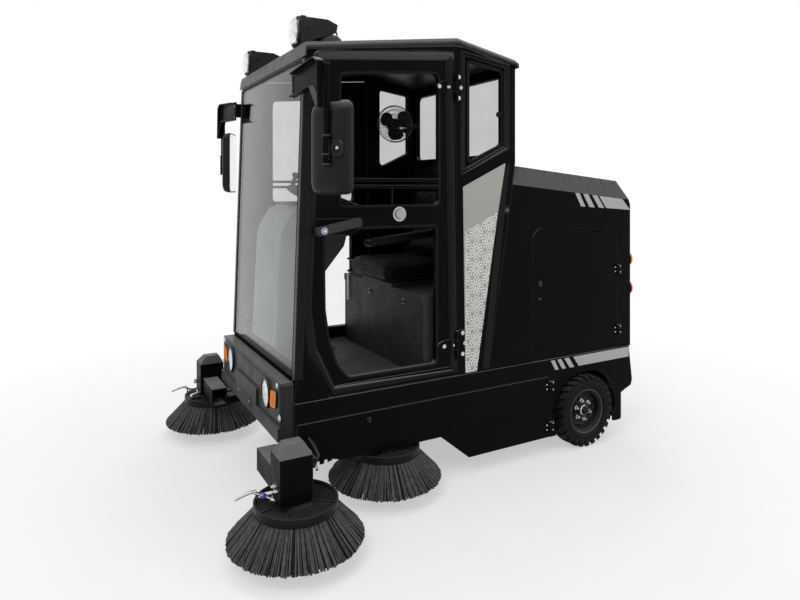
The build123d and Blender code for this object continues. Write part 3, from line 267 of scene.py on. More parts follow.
def along(p, q):
    """Places a round section (u, v) so that w runs from p towards q."""
    p, q = Vector(p), Vector(q)
    w_dir = (q - p).normalized()
    u_dir = w_dir.orthogonal().normalized()
    v_dir = w_dir.cross(u_dir)
    return lambda u, v, w: tuple(p + u_dir * u + v_dir * v + w_dir * w)


def turned_by(matrix):
    """Places (u, v, w) by a matrix."""
    return lambda u, v, w: tuple(matrix @ Vector((u, v, w)))


def shifted(place, du=0.0, dv=0.0, dw=0.0):
    return lambda u, v, w: place(u + du, v + dv, w + dw)


def turned_at(mid, degrees, axis):
    """Matrix that turns about an axis and then moves to `mid`."""
    return Matrix.Translation(mid) @ Matrix.Rotation(math.radians(degrees), 4, axis)


def polar(r, a, cu=0.0, cv=0.0):
    return cu + r * math.cos(a), cv + r * math.sin(a)


def ring_faces(n, count, looped=False):
    """Faces between rings of n points each; both ends are capped unless the rings run in a loop."""
    faces = []
    for i in range(count if looped else count - 1):
        a, b = i * n, (i + 1) % count * n
        faces += [(a + k, a + (k + 1) % n, b + (k + 1) % n, b + k) for k in range(n)]
    return faces if looped else faces + [tuple(range(n)), tuple(range((count - 1) * n, count * n))]


def new_object(name, data):
    obj = bpy.data.objects.new(name, data)
    scene.collection.objects.link(obj)
    return obj


class Bag:
    """Like pieces gathered into one mesh, in millimetres."""

    def __init__(self):
        self.verts, self.faces, self.coats = [], [], []

    def add(self, verts, faces, coat=0):
        k = len(self.verts)
        self.verts += [tuple(v) for v in verts]
        self.faces += [tuple(i + k for i in f) for f in faces]
        self.coats += [coat] * len(faces)

    def prism(self, outline, place, w0, w1, coat=0, shrink=0.0):
        """Outline (u, v) carried from w0 to w1, drawn in by `shrink` at w1."""
        n = len(outline)
        cu = sum(p[0] for p in outline) / n
        cv = sum(p[1] for p in outline) / n
        tops = []
        for u, v in outline:
            k = max(0.0, 1 - shrink / (math.hypot(u - cu, v - cv) or 1.0))
            tops.append((cu + (u - cu) * k, cv + (v - cv) * k))
        self.add([place(u, v, w0) for u, v in outline] + [place(u, v, w1) for u, v in tops],
                 ring_faces(n, 2), coat)

    def box(self, u0, u1, v0, v1, w0, w1, coat=0, place=on_top(0.0)):
        self.prism([(u0, v0), (u1, v0), (u1, v1), (u0, v1)], place, w0, w1, coat)

    def turned(self, profile, place, n=32, coat=0, ring=False):
        """Profile (radius, w) turned about the w line; a ring's profile closes on itself."""
        m = len(profile)
        faces = []
        for i in range(n):
            a, b = i * m, (i + 1) % n * m
            faces += [(a + k, b + k, b + (k + 1) % m, a + (k + 1) % m) for k in range(m if ring else m - 1)]
        if not ring:
            faces += [tuple(i * m for i in range(n)), tuple(i * m + m - 1 for i in range(n))]
        self.add([place(*polar(r, TAU * i / n), w) for i in range(n) for r, w in profile], faces, coat)

    def rod(self, p, q, r, n=14, coat=0):
        self.turned([(r, 0), (r, (Vector(q) - Vector(p)).length)], along(p, q), n, coat)

    def tube(self, points, r, n=8, coat=0, closed=False):
        """Round tube through the points."""
        pts = [Vector(p) for p in points]
        count = len(pts)
        verts = []
        side = None
        for i, p in enumerate(pts):
            before = pts[i - 1] if i or closed else p
            after = pts[(i + 1) % count] if i < count - 1 or closed else p
            d = (after - before).normalized()
            if side is None:
                side = d.orthogonal().normalized()
            side = (side - d * side.dot(d)).normalized()
            other = d.cross(side)
            for k in range(n):
                u, v = polar(r, TAU * k / n)
                verts.append(p + side * u + other * v)
        self.add(verts, ring_faces(n, count, closed), coat)

    def bolt(self, place, u, v, r=8.0, tall=5.0, coat=0, washer=None):
        """Domed hexagon-socket head on a washer, standing on the face at (u, v)."""
        here = shifted(place, u, v)
        base = 0.0
        if washer is not None:
            self.turned([(r * 1.5, 0), (r * 1.5, 1.2), (r * 1.3, 1.6)], here, 18, washer)
            base = 1.2
        self.turned([(r, base), (r, base + tall * 0.45), (r * 0.85, base + tall * 0.8),
                     (r * 0.5, base + tall), (r * 0.42, base + tall), (r * 0.42, base + tall * 0.5)],
                    here, 18, coat)

    def nut(self, place, u, v, r=10.0, tall=9.0, coat=0):
        """Hexagon nut on a collar, with the end of its stud."""
        here = shifted(place, u, v)
        self.turned([(r * 1.35, 0), (r * 1.35, 1.5)], here, 20, coat)
        self.turned([(r, 1), (r, tall * 0.85), (r * 0.86, tall)], here, 6, coat)
        self.turned([(r * 0.5, tall * 0.9), (r * 0.5, tall * 1.35), (r * 0.4, tall * 1.5)], here, 12, coat)

    def mirrored(self):
        out = Bag()
        out.verts = [(x, -y, z) for x, y, z in self.verts]
        out.faces = [tuple(reversed(f)) for f in self.faces]
        out.coats = list(self.coats)
        return out

    def both(self):
        """Adds the mirror image on the machine's right."""
        n = len(self.verts)
        other = self.mirrored()
        self.verts += other.verts
        self.faces += [tuple(i + n for i in f) for f in other.faces]
        self.coats += other.coats
        return self

    def make(self, name, body, coats, smooth=32.0, bevel=0.0, replaces=(), outward=True):
        """One visible piece that rides on `body`."""
        mesh = bpy.data.meshes.new(name)
        mesh.from_pydata([(x * MM, y * MM, z * MM) for x, y, z in self.verts], [], self.faces)
        for c in coats:
            mesh.materials.append(c)
        mesh.polygons.foreach_set("material_index", self.coats)
        if outward:
            work = bmesh.new()
            work.from_mesh(mesh)
            bmesh.ops.recalc_face_normals(work, faces=work.faces)
            work.to_mesh(mesh)
            work.free()
        mesh.update()
        obj = new_object(name, mesh)
        if smooth:
            mesh.shade_smooth()
            mesh.set_sharp_from_angle(angle=math.radians(smooth))
        if bevel:
            mod = obj.modifiers.new("eased edges", "BEVEL")
            mod.width = bevel * MM
            mod.segments = 2
            mod.limit_method = "ANGLE"
            mod.angle_limit = math.radians(38)
            mod.harden_normals = False
        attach(obj, body)
        if replaces:
            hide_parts(*replaces)


def pair(bag, name, body, coats, **how):
    """The same bag on the left body and, mirrored, on the right one."""
    for side, shapes in (("left", bag), ("right", bag.mirrored())):
        shapes.make(name + "_" + side, body + "_" + side, coats, **how)


def rounded(points, radii, steps=5):
    """Outline with its corners rounded; radii go with the points, or one serves all."""
    if not isinstance(radii, list):
        radii = [radii] * len(points)
    out = []
    n = len(points)
    for i, (p, r) in enumerate(zip(points, radii)):
        p = Vector(p)
        a, b = Vector(points[i - 1]), Vector(points[(i + 1) % n])
        if not r:
            out.append(tuple(p))
            continue
        da, db = (a - p).normalized(), (b - p).normalized()
        half = da.angle(db) / 2
        cut = min(r / math.tan(half), (a - p).length * 0.49, (b - p).length * 0.49)
        start, end = p + da * cut, p + db * cut
        for k in range(steps + 1):
            t = k / steps
            out.append(tuple((1 - t) ** 2 * start + 2 * t * (1 - t) * p + t * t * end))
    return out


def oblong(u0, u1, v0, v1, r, steps=5):
    """Rectangle with rounded corners."""
    return rounded([(u0, v0), (u1, v0), (u1, v1), (u0, v1)], r, steps)


def moulding(bag, line, place, section, coat=0, closed=True):
    """Section (across, w) carried along a line (u, v), square to it."""
    n = len(line)
    verts = []
    for i, (u, v) in enumerate(line):
        a = Vector(line[i - 1] if i or closed else (u, v))
        b = Vector(line[(i + 1) % n] if i < n - 1 or closed else (u, v))
        d = (b - a).normalized()
        verts += [place(u - d.y * s, v + d.x * s, w) for s, w in section]
    bag.add(verts, ring_faces(len(section), n, closed), coat)


def strip(bag, line, place, half, w0, w1, coat=0, closed=True):
    """Flat strip `2 half` wide that follows a line (u, v)."""
    moulding(bag, line, place, [(-half, w0), (half, w0), (half, w1), (-half, w1)], coat, closed)


def bead(bag, line, place, half, tall, coat=0, closed=True):
    """Half-round tube laid along a line (u, v)."""
    section = [(half * math.cos(math.pi * k / 8), tall * math.sin(math.pi * k / 8)) for k in range(9)]
    moulding(bag, line, place, section, coat, closed)


# --------------------------------------------------------- driving dimensions
CAB_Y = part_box("trim_panels")[1][1] / MM - 3   # outer face of cab walls, doors and hood
LOW_Y = 500.0                                  # outer face of the lower skins
LEAF = 4.0                                     # hinge leaves stand this proud
HINGES = [(1862, 0), (641, 27)]                # cab door hinges: height, how far back the leaf starts
LID_HINGES, SKIRT_HINGES = (930, 592), (352, 142)
REAR_X = -1150.0
FRONT_X = 908.0
RAISED_X = FRONT_X + 11                        # raised band of the front panel
WHEEL_Z = 190.0
AXLE_X, FORK_X, WHEEL_Y = -775, 550, 485


# ------------------------------------------------------------ tyres and rims
LUGS = 26                                      # a side
LUG_LINE = [(5, 170), (5, 190), (36, 190), (47, 186), (50, 176), (50, 160), (44, 158), (40, 170)]
CARCASS = [(112, -40), (118, -45), (140, -49.5), (162, -47.5), (172, -42), (175, -30), (176, 0), (175, 30),
           (172, 42), (162, 47.5), (140, 49.5), (118, 45), (112, 40), (108, 0)]
RIM_BARREL = [(116, -41), (118, -38), (114, -34), (104, -30), (101, -10), (101, 12), (105, 30), (113, 35),
              (118, 38), (118, 42), (112, 42), (108, 38), (99, 30), (95, 14), (95, -10), (98, -30),
              (108, -38), (112, -42)]
RIM_DISC = [(98, 4), (80, 9), (72, 3), (60, 3), (56, 10), (46, 12), (40, 12), (40, 20), (36, 23), (15.3, 23),
            (15.3, -40), (34, -40), (34, -4), (98, -4)]


def tyre(name, body, node, x, y_mid):
    bag = Bag()
    hub = on_side(y_mid, x, WHEEL_Z)
    bag.turned(CARCASS, hub, 104, ring=True)
    for r, w in ((133, 49.2), (150, 48.9)):    # moulded rings of the side wall
        for s in (1, -1):
            bag.turned([(r - 2.2, s * (w - 1)), (r, s * (w + 1)), (r + 2.2, s * (w - 1))], hub, 84,
                       ring=True)
    step = TAU / LUGS
    for s in (1, -1):
        for i in range(LUGS):
            a = step * (i + (0.5 if s < 0 else 0.0))
            verts = []
            for edge in (-1, 1):
                for w, r in LUG_LINE:
                    turn = a + edge * step * (0.25 + 0.04 * (w > 30)) + w * 0.0024
                    verts.append(hub(*polar(r, turn), s * w))
            bag.add(verts, ring_faces(len(LUG_LINE), 2))
    bag.make(name, body, [tyre_rubber], smooth=30, bevel=1.6, replaces=(node,))


def rim(name, body, node, x, y_mid, out):
    """Dished disc rim; `out` is the side its face looks to."""
    bag = Bag()
    hub = lambda u, v, w: (x + u, y_mid + out * w, WHEEL_Z + v)
    bag.turned(RIM_BARREL, hub, 72, ring=True)
    bag.turned(RIM_DISC, hub, 60, ring=True)
    bag.turned([(22, 20), (22, 30), (19, 35), (8, 38)], hub, 36)
    bag.turned([(25, 22), (28, 25), (25, 28), (22, 25)], hub, 36, 1, ring=True)
    # lip of the flange in the pale trim paint: a painted glint
    bag.turned([(111, 40), (118, 40), (118.5, 43), (115, 45), (111, 43)], hub, 72, 2, ring=True)
    for i in range(6):
        bag.nut(shifted(hub, dw=12), *polar(50, math.radians(60 * i + 20)), 8, 12, 1)
    for i in range(12):                        # pressed pockets round the disc
        bag.turned([(7, 7), (6, 9.5), (4, 10.2)], shifted(hub, *polar(86, math.radians(30 * i))), 10)
    bag.make(name, body, [rim_paint, zinc, lit_trim_paint], smooth=32, replaces=(node,))


for side, s in SIDES:
    tyre("rear_tread_" + side, "rear_wheel_" + side, "rear_tyre_" + side, AXLE_X, s * WHEEL_Y)
    rim("rear_wheel_disc_" + side, "rear_wheel_" + side, "rear_rim_" + side, AXLE_X, s * WHEEL_Y, s)
tyre("front_tread", "front_wheel", "front_tyre", FORK_X, 0)
rim("front_wheel_disc", "front_wheel", "front_rim", FORK_X, 0, 1)

# -------------------------------------------------------------- side brushes
TIP_R, TIP_Z = 258.0, 63.0
LOW, HIGH = 174.0, 209.0                       # the disc's lower and upper face
STRAND_ROWS = [  # root radius, root z, tip radius, tip z, strands, thickness, share of strands painted dark as shade
    (147, 184, 259, 65, 160, 3.8, 0.05), (143, 182, 256, 64, 160, 3.0, 0.95),
    (138, 181, 250, 63, 160, 3.1, 1.0), (126, 181, 236, 63, 130, 3.2, 0.8),
    (104, 180, 205, 62, 90, 3.2, 0.8)]
DISC = [(60, LOW + 6), (128, LOW + 6), (150, LOW + 8), (152, LOW), (159, LOW), (160, LOW + 3),
        (160, HIGH - 2), (158, HIGH), (152, HIGH), (149, HIGH - 3), (146, HIGH - 13), (70, HIGH - 13),
        (62, HIGH - 2), (58, HIGH), (14, HIGH), (12.2, HIGH - 2), (12.2, LOW + 14), (60, LOW + 12)]
BRUSHES = [("front", 913, 696), ("middle", 384, 411)]


def bristles(bag, x, y, seed):
    """Rows of stiff strands that fan outward and sag a little at the tips."""
    draw = random.Random(seed)
    open_rooted = [f for f in ring_faces(4, 4) if f != (0, 1, 2, 3)]
    for row, (r0, z0, r1, z1, count, thick, dark) in enumerate(STRAND_ROWS):
        for t in range(count):
            a0 = TAU * (t + 0.5 * (row % 2)) / count + draw.uniform(-0.006, 0.006)
            a1 = a0 + draw.uniform(-0.014, 0.014)
            root_r = r0 + draw.uniform(-2, 2)
            tip_r = min(TIP_R, r1 + draw.uniform(-5, 2))
            tip_z = max(TIP_Z, z1 + draw.uniform(-2, 5))
            verts = []
            for i in range(4):
                f = i / 3
                r = root_r + (tip_r - root_r) * (f * 0.86 + 0.14 * f * f)
                z = z0 + (tip_z - z0) * (0.93 * f + 0.07 * f * f)
                a = a0 + (a1 - a0) * f
                wide = thick * (0.8 + 0.25 * f)
                for c in range(4):
                    du, dv = polar(wide, math.pi / 2 * c + t)
                    verts.append((*polar(r + du, a + dv / r, x, y), z + 0.7 * du))
            # by the row's share, strands take the shaded bristle: painted shade among the strands
            bag.add(verts, open_rooted, 1 if draw.random() < dark else 0)


def brush_disc(bag, x, y):
    """Moulded disc: outer wall, sunk top with ribs, raised hub and its screws."""
    bag.turned(DISC, on_top(0, x, y), 72, ring=True)
    for i in range(8):
        rib = turned_by(turned_at((x, y, 0), 45 * i + 10, "Z"))
        bag.box(74, 144, -3, 3, HIGH - 14, HIGH - 6, 0, rib)
    for i in range(6):
        bag.bolt(on_top(HIGH - 13, x, y), *polar(108, math.radians(60 * i)), 6, 5, 1)


for place_name, x, y in BRUSHES:
    for side, s in SIDES:
        which = "%s_%s" % (place_name, side)
        strands = Bag()
        # dark cone under the strands, in the shaded bristle: painted shade that fills the gaps among them
        strands.turned([(150, 184), (222, 92), (150, 84), (60, 150), (60, 184)], on_top(0, x, s * y), 64, 1,
                       ring=True)
        bristles(strands, x, s * y, seed=7 + x + s)
        strands.make("bristles_" + which, "sweeping_" + which, [fibre, shaded_fibre], smooth=0, outward=False,
                     replaces=("brush_" + which,))
        disc = Bag()
        brush_disc(disc, x, s * y)
        disc.make("brush_disc_" + which, "sweeping_" + which, [disc_black, steel], bevel=0.8)

# --------------------------------------------------------------- main roller
ROLLER_X, ROLLER_Z = -220.0, 215.0
ROOT_R, ROLLER_R, ROLLER_HALF = 88, 150.0, 420.0
ROLLER_ROWS, TUFTS = 14, 78
STRAND_FACES = [(0, 1, 4, 3), (1, 2, 5, 4), (2, 0, 3, 5), (3, 4, 5)]


def roller():
    bag = Bag()
    core = on_side(0, ROLLER_X, ROLLER_Z)
    bag.turned([(92, -ROLLER_HALF), (92, ROLLER_HALF)], core, 48, 2)
    bag.turned([(20, -454), (20, 454)], core, 24, 3)
    draw = random.Random(21)
    for i in range(ROLLER_ROWS):
        for k in range(TUFTS):
            w = -ROLLER_HALF + 6 + (2 * ROLLER_HALF - 12) * k / (TUFTS - 1)
            a0 = TAU * i / ROLLER_ROWS + 2.2 * (w / ROLLER_HALF)
            for c in range(3):                 # three strands a tuft
                a = a0 + draw.uniform(-0.10, 0.10)
                tip = ROLLER_R - draw.uniform(0.5, 6)
                dw, dt = draw.uniform(-4, 4), draw.uniform(-0.03, 0.03)
                base = [core(*polar(ROOT_R, a + e / ROOT_R), w + g) for e, g in ((-3, -3), (3, -3), (0, 4))]
                tips = [core(*polar(tip, a + dt + e / ROLLER_R), w + dw + g)
                        for e, g in ((-1.6, -1.6), (1.6, -1.6), (0, 2))]
                # the middle strand of each tuft takes the shaded bristle: painted shade among the strands
                bag.add(base + tips, STRAND_FACES, 1 if c == 1 else 0)
    bag.make("roller_bristles", "sweeping_roller", [fibre, shaded_fibre, disc_black, steel], smooth=0,
             outward=False, replaces=("roller_brush",))


roller()

# ----------------------------------------------------- brush arms and covers
COVER_FRONT = 998.0                            # front face of the cover on each front brush's arm


def brush_gear():
    """Tilt crank, cover screws, lift link and hose of the front brushes."""
    bag = Bag()
    for y, z in ((725, 287), (737, 272)):      # stub screws on the cover's front
        bag.rod((COVER_FRONT, y, z), (COVER_FRONT + 14, y, z), 8, 16)
        bag.rod((COVER_FRONT + 14, y, z), (COVER_FRONT + 22, y, z), 5, 12)
    # crank: swivel on the guard, screwed rod, blue ring, cross bar
    pivot, ring, cross = (1004, 700, 226), (1030, 692, 240), (1083, 690, 266)
    bag.rod((990, 704, 226), pivot, 9)
    bag.turned([(12, -9), (14, 0), (12, 9)], along(pivot, ring), 18)
    bag.rod(pivot, ring, 7)
    bag.turned([(7.5, 0), (10, 2), (10, 12), (7.5, 14)], along(ring, cross), 18, 2)
    bag.rod(ring, (1072, 690, 262), 5.5)
    bag.tube([(1066, 690, 266), (1084, 690, 268), (1112, 690, 263), (1145, 690, 254)], 6, 10)
    bag.tube([(1066, 690, 266), (1062, 694, 250), (1060, 698, 234)], 3.5, 8, 3)
    bag.rod((990, 664, 232), (1040, 648, 224), 9)
    bag.rod((1034, 650, 225), (1050, 645, 222.5), 12)
    # lift link and hose behind the cover
    bag.box(846, 868, 664, 700, 250, 344, 3)
    bag.box(828, 850, 560, 690, 318, 340, 3)
    bag.tube([(862, 680, 300), (838, 684, 306), (800, 640, 322), (790, 560, 336), (790, 500, 340)], 6, 10, 4)
    bag.rod((806, 640, 268), (806, 560, 316), 6, 12)
    for z in (262, 330):
        bag.bolt(on_side(700), 857, z, 6, 4)
    bag.both().make("brush_gear", "machine", [zinc, steel, blue_plastic, dull_paint, rubber], bevel=0.6)


brush_gear()

# ------------------------------------------------------------------- mirrors
HEAD_PLACE = turned_at((803.0, 797.0, 1533.0), 26.6, "Z")
SHELL_MID = -17                                # the shell's middle, across, from the clamp's line
SHELL = [  # depth, half across, half tall, corner
    (-28, 88, 170, 34), (-27, 93, 175, 38), (-10, 93, 175, 38), (-9, 90, 172, 36), (2, 89, 171, 36),
    (12, 83, 166, 42), (19, 71, 154, 44), (24, 50, 130, 40), (27, 18, 70, 14)]
ARM_X = 846.0
POLE_X, POLE_Y = 836, 808


def mirror_head():
    at_head = turned_by(HEAD_PLACE)
    bag = Bag()
    rings = [[at_head(depth, u + SHELL_MID, v) for u, v in oblong(-a, a, -b, b, r, 6)]
             for depth, a, b, r in SHELL]
    bag.add([p for ring in rings for p in ring], ring_faces(len(rings[0]), len(rings)))
    bag.both().make("mirror_shells", "machine", [mirror_shell], smooth=40, bevel=1.0,
                    replaces=("mirror_heads",))
    face = Bag()
    face.prism(oblong(-102, 68, -167, 167, 30, 6), lambda u, v, w: at_head(-28 - w, u, v), 0, 1.5)
    face.both().make("mirror_faces", "machine", [mirror_face], smooth=0)
    grip = Bag()
    plate = [(-27, -17), (-15, -32), (15, -32), (27, -17), (27, 17), (15, 32), (-15, 32), (-27, 17)]
    at_plate = lambda u, v, w: at_head(27 + w, u + 42, v - 6)
    grip.prism(plate, at_plate, -2, 9, shrink=2)
    grip.turned([(15, 8.5), (15, 10), (11, 10.4)], at_plate, 24, 2)
    grip.bolt(shifted(at_plate, dw=10), 8, 2, 7, 6, 1)
    grip.both().make("mirror_clamps", "machine", [plastic, chrome, rubber], smooth=35, bevel=0.6)


def mirror_bracket():
    """Gusset patch, screws and collars of the folded arm."""
    bag = Bag()
    front = on_front(ARM_X)
    bag.prism([(730, 1752), (790, 1690), (786, 1784)], front, 3.5, 5, 2)
    for z in (1836, 1776):
        bag.bolt(front, 490, z, 5, 4, 1)
    for z in (1800, 1830):
        bag.bolt(on_side(CAB_Y + 6), 812, z, 6, 4, 1)
    # collars and cap in the lighter band paint: painted light
    bag.rod((POLE_X, POLE_Y, 1842), (POLE_X, POLE_Y, 1848), 12.5, 20)
    for z in (1468, 1505, 1575):
        bag.turned([(16, -4), (18, -2), (18, 2), (16, 4)], on_top(z, POLE_X, POLE_Y), 28)
    bag.both().make("mirror_channels", "machine", [lit_band_paint, zinc, rubber], bevel=0.8)


mirror_head()
mirror_bracket()

# --------------------------------------------------------------------- lamps
ROOF_LAMP = (824.0, 383.0, 2058.0)             # lens face x, y, z
ROOF_BODY = [(-54, -14), (-34, -56), (34, -56), (54, -14), (54, 36), (40, 56), (-40, 56), (-54, 36)]
ROOF_LENS = [(-49, -12), (-30, -51), (30, -51), (49, -12), (36, 52), (-36, 52)]
LENS_Y, LENS_Z, LENS_A, LENS_B = 305.0, 494.0, 52.0, 61.0      # headlamp: middle, half across, half tall
INDICATOR = [(372, 458), (446, 470), (452, 540), (384, 528)]
BRICK_FACES = [(0, 1, 2, 3), (4, 5, 6, 7), (0, 1, 5, 4), (1, 2, 6, 5), (2, 3, 7, 6), (3, 0, 4, 7)]


def roof_lamp_parts():
    bag = Bag()
    x, y, z = ROOF_LAMP
    face = on_front(x - 26, y, z)
    strip(bag, ROOF_BODY, face, 2.5, -14, 12)
    bag.prism([(-28, -57), (-28, 58), (-150, 58), (-196, 40), (-190, 6), (-120, -22)],
              on_side(y - 50, x, z), 0, 100)
    bag.prism(ROOF_LENS, face, 0.5, 2.5, 1)
    for p, q in zip(ROOF_LENS, ROOF_LENS[1:] + ROOF_LENS[:1]):     # bright facets sloping in to the bulb
        inner = [(u * 0.42, v * 0.42) for u, v in (q, p)]
        corners = [(p, 18), (q, 18), (inner[0], 4), (inner[1], 4)]
        bag.add([face(*c, w - back) for back in (0, 2) for c, w in corners], BRICK_FACES, 1)
    bag.turned([(16, 3), (16, 9), (10, 14), (3, 16)], face, 24, 2)
    foot = lambda height: lambda u, v, w: (x - 168 + u, y + v, height + w - 0.138 * u)
    for a in (30, 150, 270):
        u, v = 48 * math.cos(math.radians(a)), 40 * math.sin(math.radians(a))
        bag.bolt(foot(2044), u, v, 5, 4, 3)
    bag.tube([(x - 186, y, 2092), (x - 206, y, 2084), (x - 214, y, 2066)], 4, 8, 4)
    bag.turned([(65, 0), (60, 24), (46, 40), (20, 48)], foot(2011), 36)
    bag.both().make("roof_lamp_parts", "machine", [grey_plastic, reflector, lattice_white, zinc, rubber],
                    bevel=0.7)


def head_lamp_parts():
    """Reflector facets, bulb ring and bezel in each headlamp, ribs on each indicator."""
    bag = Bag()
    face = on_front(FRONT_X - 3.5, LENS_Y, LENS_Z)
    oval = lambda k, a: (LENS_A * k * math.cos(a), LENS_B * k * math.sin(a))
    strip(bag, [oval(1.03, TAU * i / 48) for i in range(48)], face, 3, 0, 14, 1)
    draw = random.Random(3)
    for ring in range(4):                      # faceted bowl
        k0, k1 = 0.98 - 0.22 * ring, 0.98 - 0.22 * (ring + 1)
        count = 18 - 3 * ring
        for i in range(count):
            a0, a1 = TAU * i / count, TAU * (i + 0.94) / count
            tilt = draw.uniform(0, 3)
            pts = [oval(k0, a0), oval(k0, a1), oval(k1, a1), oval(k1, a0)]
            tops = [face(*p, 7 - ring + (tilt if j in (1, 2) else 0)) for j, p in enumerate(pts)]
            bag.add([face(*p, 0.6) for p in pts] + tops, BRICK_FACES)
    bag.turned([(9, 0), (9, 7), (5, 10)], face, 20, 2)
    strip(bag, rounded(INDICATOR, 12), on_front(FRONT_X), 2.2, 0, 7, 1)
    for i in range(5):
        t = (i + 0.5) / 5
        u = 380 + 62 * t
        bag.box(u - 1.2, u + 1.2, 466 + 10 * t, 526 + 8 * t, 7.5, 9.4, 3, on_front(FRONT_X))
    bag.both().make("head_lamp_parts", "machine", [reflector, plastic, lattice_white, amber], smooth=30)


def rear_lamp_parts():
    bag = Bag()

    def rings(place, radii, half, w, n, coat):
        for r in radii:
            bag.turned([(r - half, w[0]), (r, w[1]), (r + half, w[0])], place, n, coat, ring=True)

    for z, coat in ((978, 1), (813, 2)):
        hub = on_rear(REAR_X, 450, z)
        bag.turned([(42.5, 0), (47, 0), (47, 6), (44, 9), (42.5, 9)], hub, 48, ring=True)
        bag.turned([(30, 2), (42.6, 2), (42.6, 22), (41, 24.4), (38, 24.8), (30, 24.8)], hub, 48, coat,
                   ring=True)
        rings(hub, (8, 15, 22), 1.4, (22, 24.8), 48, coat)
    hub = on_rear(-1069, 440, 160)
    bag.turned([(26.2, 0), (30, 0), (30, 6), (26.2, 7)], hub, 40, ring=True)
    rings(hub, (8, 15, 21), 1.2, (9.5, 11), 36, 2)
    bag.both().make("rear_lamp_parts", "machine", [rubber, amber, red, zinc], smooth=30)


roof_lamp_parts()
head_lamp_parts()
rear_lamp_parts()


# --------------------------------------------------------------- front panel
def front_trim():
    """Cover plate and screws of the front panel, the lip under the windscreen and its seam."""
    bag = Bag()
    face, raised = on_front(FRONT_X), on_front(RAISED_X)
    bag.prism(oblong(-141, 93, 366, 414, 6), raised, 0, 2)
    for y in (482, -482):
        bag.bolt(face, y, 440, 9, 5, 1, washer=1)
    for y in (449, -449):
        bag.bolt(face, y, 564, 8, 4, 1, washer=1)
    for y in (-120, 72):
        bag.bolt(raised, y, 390, 4, 3, 1)
    # lip under the windscreen in the lighter band paint: painted light
    bag.box(852, 906, -484, 484, 576, 579, 2)
    bag.box(FRONT_X - 1, FRONT_X + 1.2, -486, 486, 560, 562, 3)
    bag.make("front_trim", "machine", [plastic, zinc, lit_band_paint, rubber], bevel=0.6)


front_trim()


# ------------------------------------------------------- windscreen and frame
def screen_trim():
    """Rubber and sill of the windscreen, the rod behind its foot, and the corner posts of the cab."""
    bag = Bag()
    lean = (804.0 - 850.0) / (1930.0 - 576.0)
    place = lambda u, v, w: (850.0 + (v - 576.0) * lean + w, u, v)
    strip(bag, oblong(-470, 470, 592, 1918, 22), place, 6, -7.5, 2.5)
    bag.box(-470, 470, 580, 606, -40, -7, 0, place)
    bag.box(-466, 466, 598, 648, -13, -8, 4, place)    # ledge at the foot of the console
    bag.box(-466, 466, 578, 598, 2, 5, 5, place)
    bag.rod((830, -466, 700), (830, -120, 700), 3, 10, 2)
    for y in (-400, -240):
        bag.rod((830, y, 690), (830, y, 712), 6, 12)
    for s in (1, -1):                          # corner posts of the cab in the lighter band paint, and their front edge painted pale: painted highlights
        bag.box(s * 499.6, s * 466, 590, 1925, -34, 1.5, 1, place)
        bag.box(s * 498, s * 478, 592, 1922, 1.5, 3.5, 3, place)
    # pale strip along the top of the screen frame: painted highlight
    bag.box(-478, 478, 1924, 1934, 0, 3.5, 3, place)
    bag.make("screen_trim", "machine", [rubber, lit_band_paint, steel, lit_trim_paint, dull_paint, gap_black],
             bevel=0.6)


screen_trim()


def roof_trim():
    """Raised seams of the roof skin, the screws beside them and the folded rim along each side, painted pale
    as a highlight where it turns to the light.
    """
    bag = Bag()
    fall = (1991 - 2096) / (804 - 43)
    front = lambda u, v, w: (u, v, 2096 + (u - 43) * fall + w)
    for y in (-300, 0, 300):
        bag.box(60, 790, y - 6, y + 6, 0, 2.2, 0, front)
    bag.box(36, 50, -490, 490, 0.0, 2.2, 0, on_top(2094))
    for s in (1, -1):
        for x in (90, 330, 570, 760):
            bag.bolt(front, x, s * 470, 5, 3, 1)
    rim_line = [(800, 1970), (655, 1988), (52, 2064), (-20, 2062), (-276, 1998)]
    for s in (1, -1):
        rim_side = lambda u, v, w: (u, s * (CAB_Y - 0.5 + w), v)
        # side rim in the pale trim paint: painted highlight from the light above
        bead(bag, rim_line, rim_side, 9, 6, 2, closed=False)
    bag.make("roof_trim", "machine", [paint, zinc, lit_trim_paint], bevel=0.5)


roof_trim()

# --------------------------------------------------------------------- doors
DOOR_LINE = [(61, 2030), (652, 1974), (768, 1962), (777, 1800), (796, 1333), (816, 869),
             (788, 690), (689, 496), (35, 496)]
DOOR_ROUND = [0, 0, 62, 0, 0, 60, 60, 0, 0]
UPPER_WINDOW = [(139, 1922), (640, 1876), (640, 1306), (139, 1306)]
LOWER_WINDOW = [(153, 1205), (715, 1205), (713, 1016), (711, 868), (693, 739), (656, 628), (603, 563),
                (153, 563)]
LOWER_ROUND = [24, 24, 0, 0, 60, 60, 40, 20]
STEP_Y = CAB_Y - 5.0                           # recessed middle of the door
BAND = 19                                      # about half the width of the rounded band round the door


def area_of(line):
    return sum(a[0] * b[1] - b[0] * a[1] for a, b in zip(line, line[1:] + line[:1]))


def inset(line, d):
    """Line (anticlockwise or not) moved inward by d."""
    s = 1 if area_of(line) > 0 else -1
    out = []
    for i, p in enumerate(line):
        a, p, b = Vector(line[i - 1]), Vector(p), Vector(line[(i + 1) % len(line)])
        d0, d1 = (p - a).normalized(), (b - p).normalized()
        n0, n1 = Vector((-d0.y, d0.x)) * s, Vector((-d1.y, d1.x)) * s
        mid = n0 + n1
        out.append(tuple(p + mid * (d / max(0.4, mid.dot(n0)))))
    return out


